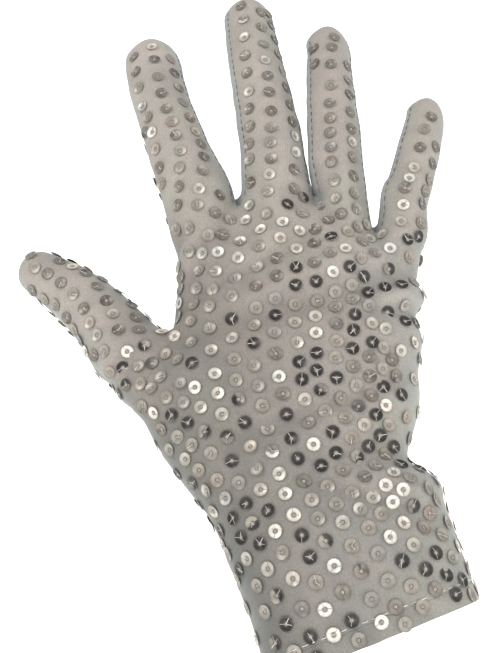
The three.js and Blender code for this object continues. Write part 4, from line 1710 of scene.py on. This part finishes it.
@dataclass
class Sequins:
    """All sequins, the knots in their holes and the threads that hold them."""

    net: Net
    outer: float = 2.3
    hole: float = 0.72
    seam_margin: float = 1.9
    closest: float = 5.3
    tightest: float = 4.2
    nearest: float = 4.1
    stand_off: float = 0.16
    slide: float = 0.2
    tilt: float = 0.08
    # The share of cups whose two halves get their own painted reflection.
    two_toned: float = 0.2
    tone_spread: float = 0.03
    painted_facet_spread: float = 0.04
    dark: float = 0.2
    middling: float = 0.45
    bright: float = 0.9
    thread: float = 0.12
    steps: int = 12
    foil: Foil = Foil()
    yarn: Thread = Thread("sequin_thread", (148, 143, 136), (224, 219, 211))
    rows: tuple[Row, ...] = (
        *(Row(patch, *row) for patch, rows in ROWS.items() for row in rows),
        *(Row(patch, len(places), places) for patch, places in SINGLES.items()),
    )
    fields: tuple[Field, ...] = (
        Field("hand", 15, 8.2, 19.8, 6.9, 7.1, (0.3, 14.8)),
        Field("index", 5, 2.6, 7.9, 7.4), Field("middle", 5, 4.1, 5.9, 7.5),
        Field("ring", 5, 4.1, 5.9, 7.4), Field("little", 5, 2.6, 5.9, 7.3),
        Field("thumb", 5, 2.4, 8.0, 6.6),
    )
    # Shares of the five painted reflections: on the hand, on the fingers and the thumb, and on cups
    # turned side-on, which lean to light ones as painted sheen.
    usual: Shares = (0.17, 0.15, 0.42, 0.14, 0.12)
    fingers: Shares = (0.01, 0.5, 0.31, 0.1, 0.08)
    edges: Shares = (0.02, 0.06, 0.3, 0.37, 0.25)

    def place(self) -> tuple[Array, ...]:
        """Where the sequins lie: first the rows, then the fields where nothing lies yet.

        Returns:
            Centres, normals, directions along the cloth, piece numbers, and finger flags.
        """
        between, highest = self.net.on_seams()
        seam = self.net.points[between & (highest != Piece.HEM.number)]
        kept: list[tuple[Array, ...]] = []
        done = np.zeros((0, 3))
        for plan in (*self.rows, *self.fields):
            sheet = self.net.sheet(plan.patch)
            row, column = plan.sites(sheet)
            centre, normal = sheet.surface(row, column)
            pieces = sheet.patch.pieces
            ahead = sheet.at(self.net.points, np.minimum(row + 0.1, len(pieces) - 0.01), column)
            piece = pieces[np.clip(row, 0, len(pieces) - 1e-6).astype(int),
                           (np.floor(column) % pieces.shape[1]).astype(int)]
            good = ~np.isnan(centre).any(1)
            good &= ~np.isin(piece, [NONE, *(strip.number for strip in STRIPS)])
            closest = self.tightest
            if isinstance(plan, Field):
                closest = self.closest
                good &= apart(centre, seam).min(1) > self.seam_margin
            good &= apart(centre, done).min(1, initial=FAR) > closest
            finger = np.full(len(centre), plan.patch != "hand")
            kept.append((centre[good], normal[good], unit(ahead - centre)[good], piece[good],
                         finger[good]))
            done = np.vstack([done, centre[good]])
        return tuple(np.concatenate(part) for part in zip(*kept))

    def tones(self, centres: Array, normals: Array, finger: Array, rng: Chance) -> Array:
        """Two painted reflections for each sequin, one for each half of its cup: shares of the five
        looks, by the areas that it lies in and lighter for cups turned side-on, then looks drawn by
        chance.
        Most cups have one painted reflection.

        Args:
            centres: places.
            normals: their normals.
            finger: which are on a finger or the thumb.
            rng: the source of chance.

        Returns:
            Pairs of painted reflections from 0, dark, to 1, bright.
        """
        shares = np.where(finger[:, None], self.fingers, self.usual)
        back = normals[:, 1] < 0.2
        for lean, places in AREAS.items():
            x, z, radius = np.array(places).T[..., None]
            far = (np.hypot(centres[:, 0] - x, centres[:, 2] - z) / radius).min(0)
            weight = (smooth(-far, -1.3, -0.9) * back)[:, None]
            shares = shares * (1 - weight) + np.array(LEANS[lean]) * weight
        # Cups turned side-on lean to light painted reflections, as painted sheen.
        side = smooth(-np.abs(normals[:, 1]), -0.5, -0.3)[:, None]
        shares = shares * (1 - side) + np.array(self.edges) * side
        looks = np.array([look.value for look in PaintedReflection])
        limits = np.cumsum(shares, 1) / shares.sum(1, keepdims=True)
        draw = rng.uniform(size=(2, len(centres)))
        pick = (draw[..., None] > limits).sum(2).clip(0, len(looks) - 1)
        tone = looks[pick] + rng.normal(0, self.tone_spread, len(centres))
        same = rng.uniform(size=len(centres)) > self.two_toned
        return np.clip(np.where(same, tone[0], tone), 0, 1)

    def disc(self) -> tuple[Array, Array, Array]:
        """A cup sequin: a profile of six points turned round the hole.

        Returns:
            Points, faces, and each point's share of the darker edge: wear and painted shadow, most at the
            outer rim and the hole's top edge.
        """
        profile = np.array([(self.hole, -0.02), (self.hole, 0.08), (1.15, 0.12),
                            (self.outer - 0.42, 0.26), (self.outer, 0.4), (self.outer, 0.3)])
        # Each profile point's share of wear and painted shadow: most at the outer rim's top and the
        # hole's top edge.
        rim = np.array([0.3, 0.9, 0.0, 0.0, 1.0, 0.1])
        return *turned(profile, self.steps), np.repeat(rim, self.steps)

    def knot(self) -> Pair:
        """The thread's knot in the hole: a small rounded ring of six by four points."""
        return turned(np.array([(0.1, 0.02), (0.16, 0.12), (0.4, 0.17), (0.56, 0.04)]), 6)

    def stitch(self, centres: Array, frames: Array, tone: Array, rng: Chance
               ) -> tuple[Array, Array, Array]:
        """Up to three threads to each sequin, from the knot out over the rim and into the cloth.
        They differ in length, brightness and direction.

        Args:
            centres: where the sequins lie.
            frames: their own directions.
            tone: the sequins' painted reflections. Thread on a dark one catches more painted light.
            rng: the source of chance.

        Returns:
            Points, faces, and each point's brightness from 0 to 1.
        """
        count = len(centres)
        reach = np.array([0.35, 0.8, 1.4, self.outer - 0.35, self.outer - 0.1])
        lift = np.array([0.08, 0.2, 0.25, 0.36, 0.2])
        angle = (rng.uniform(0, 2 * math.pi, (count, 1)) + np.arange(3) * 2 * math.pi / 3
                 + rng.normal(0, 0.4, (count, 3)))[..., None]
        size = rng.choice([0.62, 0.78, 1.0], (count, 3), p=[0.2, 0.2, 0.6])[..., None]
        local = np.stack([np.cos(angle) * reach * size, np.sin(angle) * reach * size,
                          lift + (1 - size) * (-0.2)], -1)
        paths = centres[:, None, None] + np.einsum("kspi,kij->kspj", local, frames)
        lifts = np.broadcast_to(frames[:, None, None, 2], paths.shape)
        seen = np.where((tone < self.dark) | (tone > self.bright), 1.0, 0.6)[:, None]
        kept = rng.uniform(size=(count, 3)) < np.array([1.0, 0.85, 0.3]) * seen
        gleam = rng.uniform(size=(count, 3)) ** 3 + 0.2 * (tone < self.dark)[:, None]
        points, faces = threads(paths[kept], lifts[kept], self.thread)
        bright = np.repeat(gleam[kept].clip(0, 1), len(points) // kept.sum())
        return points, faces, bright

    def spaced(self, centres: Array) -> Array:
        """Of two sequins that lie nearer than nearest, the first one stays.

        Args:
            centres: where the sequins lie.

        Returns:
            True for each one that stays.
        """
        stays = np.ones(len(centres), bool)
        for first, second in np.argwhere(np.triu(apart(centres, centres) < self.nearest, 1)):
            stays[second] &= ~stays[first]
        return stays

    def build(self) -> list[bpy.types.Object]:
        """Makes the sequins, their knots and their threads, joined by cloth piece.

        Returns:
            Two pieces for each cloth piece: the discs, and the threads with the knots.
        """
        rng = np.random.default_rng(SEED + 1)
        centres, normals, ahead, pieces, finger = self.place()
        stays = self.spaced(centres)
        count = len(centres)
        tone = self.tones(centres, normals, finger, rng)
        tint = rng.uniform(size=count)
        slide = rng.normal(0, self.slide, (count, 3))
        slide -= normals * (slide * normals).sum(1, keepdims=True)
        centres = centres + slide + normals * self.stand_off
        up = unit(normals + rng.normal(0, self.tilt, (count, 3)))
        side = unit(np.cross(up, ahead))
        frames = np.stack([side, np.cross(up, side), up], 1)
        shape, quads, rim = self.disc()
        turn = rng.uniform(0, 2 * math.pi, (count, 1))
        # Painted reflection of each point: the two halves of a cup take their own, and each facet is
        # painted a little lighter or darker.
        half = smooth(np.cos(turn) * shape[:, 0] + np.sin(turn) * shape[:, 1], -0.3, 0.3)
        painted_facet = rng.normal(0, self.painted_facet_spread, (count, self.steps))
        painted_facet = np.tile(painted_facet, len(shape) // self.steps)
        tones = np.clip(tone[0][:, None] * (1 - half) + tone[1][:, None] * half + painted_facet, 0, 1)
        foil, yarn, made = self.foil.make(), self.yarn.make(), []
        for piece in (Piece.BACK, Piece.PALM, Piece.THUMB, Piece.HEM):
            own = (pieces == piece.number) & stays
            discs = new_mesh(piece.value + "_sequins", *laid(shape, quads, centres[own], frames[own]))
            dress(discs, foil, piece.slot, tone=tones[own].ravel(),
                  tint=np.repeat(tint[own], len(shape)), rim=np.tile(rim, own.sum()))
            points, faces, bright = self.stitch(centres[own], frames[own], tone[0][own], rng)
            knot, knot_quads = self.knot()
            knots, knot_faces = laid(knot, knot_quads, centres[own], frames[own])
            yarns = new_mesh(piece.value + "_sequin_threads", np.vstack([points, knots]),
                             np.vstack([faces, knot_faces + len(points)]))
            gleam = np.where(tone[0][own] < self.middling, 0.2, 0.05)
            dress(yarns, yarn, piece.slot, bright=np.append(bright, np.repeat(gleam, len(knot))))
            made += [discs, yarns]
            LOG.info("%s: %d sequins", piece.value, own.sum())
        return made


# Stitches


@dataclass(frozen=True)
class Stitch:
    """One kind of running stitch: its piece, slot and thread, and its length, step and radius."""

    name: str
    slot: str
    yarn: Thread
    dash: float
    step: float
    radius: float

    def dashes(self, line: Array, up: Array) -> Pair:
        """Stitches along a line: every step of its length a dash comes up, lies flat and goes down.

        Args:
            line: points of the line.
            up: the surface's normals there.

        Returns:
            Paths of five points, and the way up at each.
        """
        lengths = reached(line)
        starts = np.arange(self.step / 2, lengths[-1] - self.dash, self.step)
        uneven = self.dash * (0.85 + 0.15 * np.sin(np.arange(len(starts)) * 2.4))[:, None]
        at = starts[:, None] + np.array([0, 0.15, 0.5, 0.85, 1.0]) * uneven
        point, normal = (np.stack([np.interp(at, lengths, values) for values in part.T], -1)
                         for part in (line, up))
        normal = unit(normal)
        lift = np.array([-0.25, 0.14, 0.2, 0.14, -0.25])
        return point + normal * lift[:, None], normal

    def sew(self, lines: list[Pair], rng: Chance) -> bpy.types.Object:
        """Makes one piece of the stitches along all the lines, each with its own brightness.

        Args:
            lines: points and normals of each line.
            rng: the source of chance.

        Returns:
            The piece.
        """
        parts = [self.dashes(*line) for line in lines]
        paths, lifts = (np.vstack(part) for part in zip(*parts))
        points, faces = threads(paths, lifts, self.radius)
        made = new_mesh(self.name, points, faces)
        bright = rng.uniform(size=len(paths))
        dress(made, self.yarn.make(), self.slot, bright=np.repeat(bright, len(points) // len(paths)))
        return made


@dataclass
class Stitches:
    """Running stitches along the seams of the fingers and along the hem."""

    net: Net
    seams: Stitch = Stitch("finger_seam_stitches", "plain_knit",
                           Thread("seam_thread", (84, 84, 82), (126, 126, 124)), 2.3, 3.3, 0.2)
    hem: Stitch = Stitch("hem_stitches", "hem_knit",
                         Thread("hem_thread", (196, 190, 182), (240, 237, 231)), 2.5, 3.2, 0.13)
    seam_rows: tuple[float, float] = (0.2, 6.8)
    hem_row: float = 1.12

    def build(self) -> list[bpy.types.Object]:
        """Makes the seams' stitches as one piece and the hem's as another.

        Returns:
            Both pieces.
        """
        rng = np.random.default_rng(SEED + 2)
        left, right = ("middle", "ring", "little"), ("index", "middle", "ring")
        row = np.linspace(*self.seam_rows, 160)
        lines = [self.net.sheet(name).surface(row, np.full(len(row), float(column)))
                 for column, names in ((0, left), (2, right), (4, right), (6, left))
                 for name in names]
        hand = self.net.sheet("hand")
        column = np.linspace(0, hand.patch.pieces.shape[1], 400)
        round_hem = hand.surface(np.full(len(column), self.hem_row), column)
        return [self.seams.sew(lines, rng), self.hem.sew([round_hem], rng)]


def main() -> None:
    """Builds the view, the studio, the cloth, the sequins and the stitches, in that order."""
    logging.basicConfig(level=logging.INFO, format="%(message)s")
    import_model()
    View().build()
    Studio().build()
    net = Pattern().build()
    for part in (Cloth(net), Sequins(net), Stitches(net)):
        part.build()


if __name__ == "__main__":
    main()
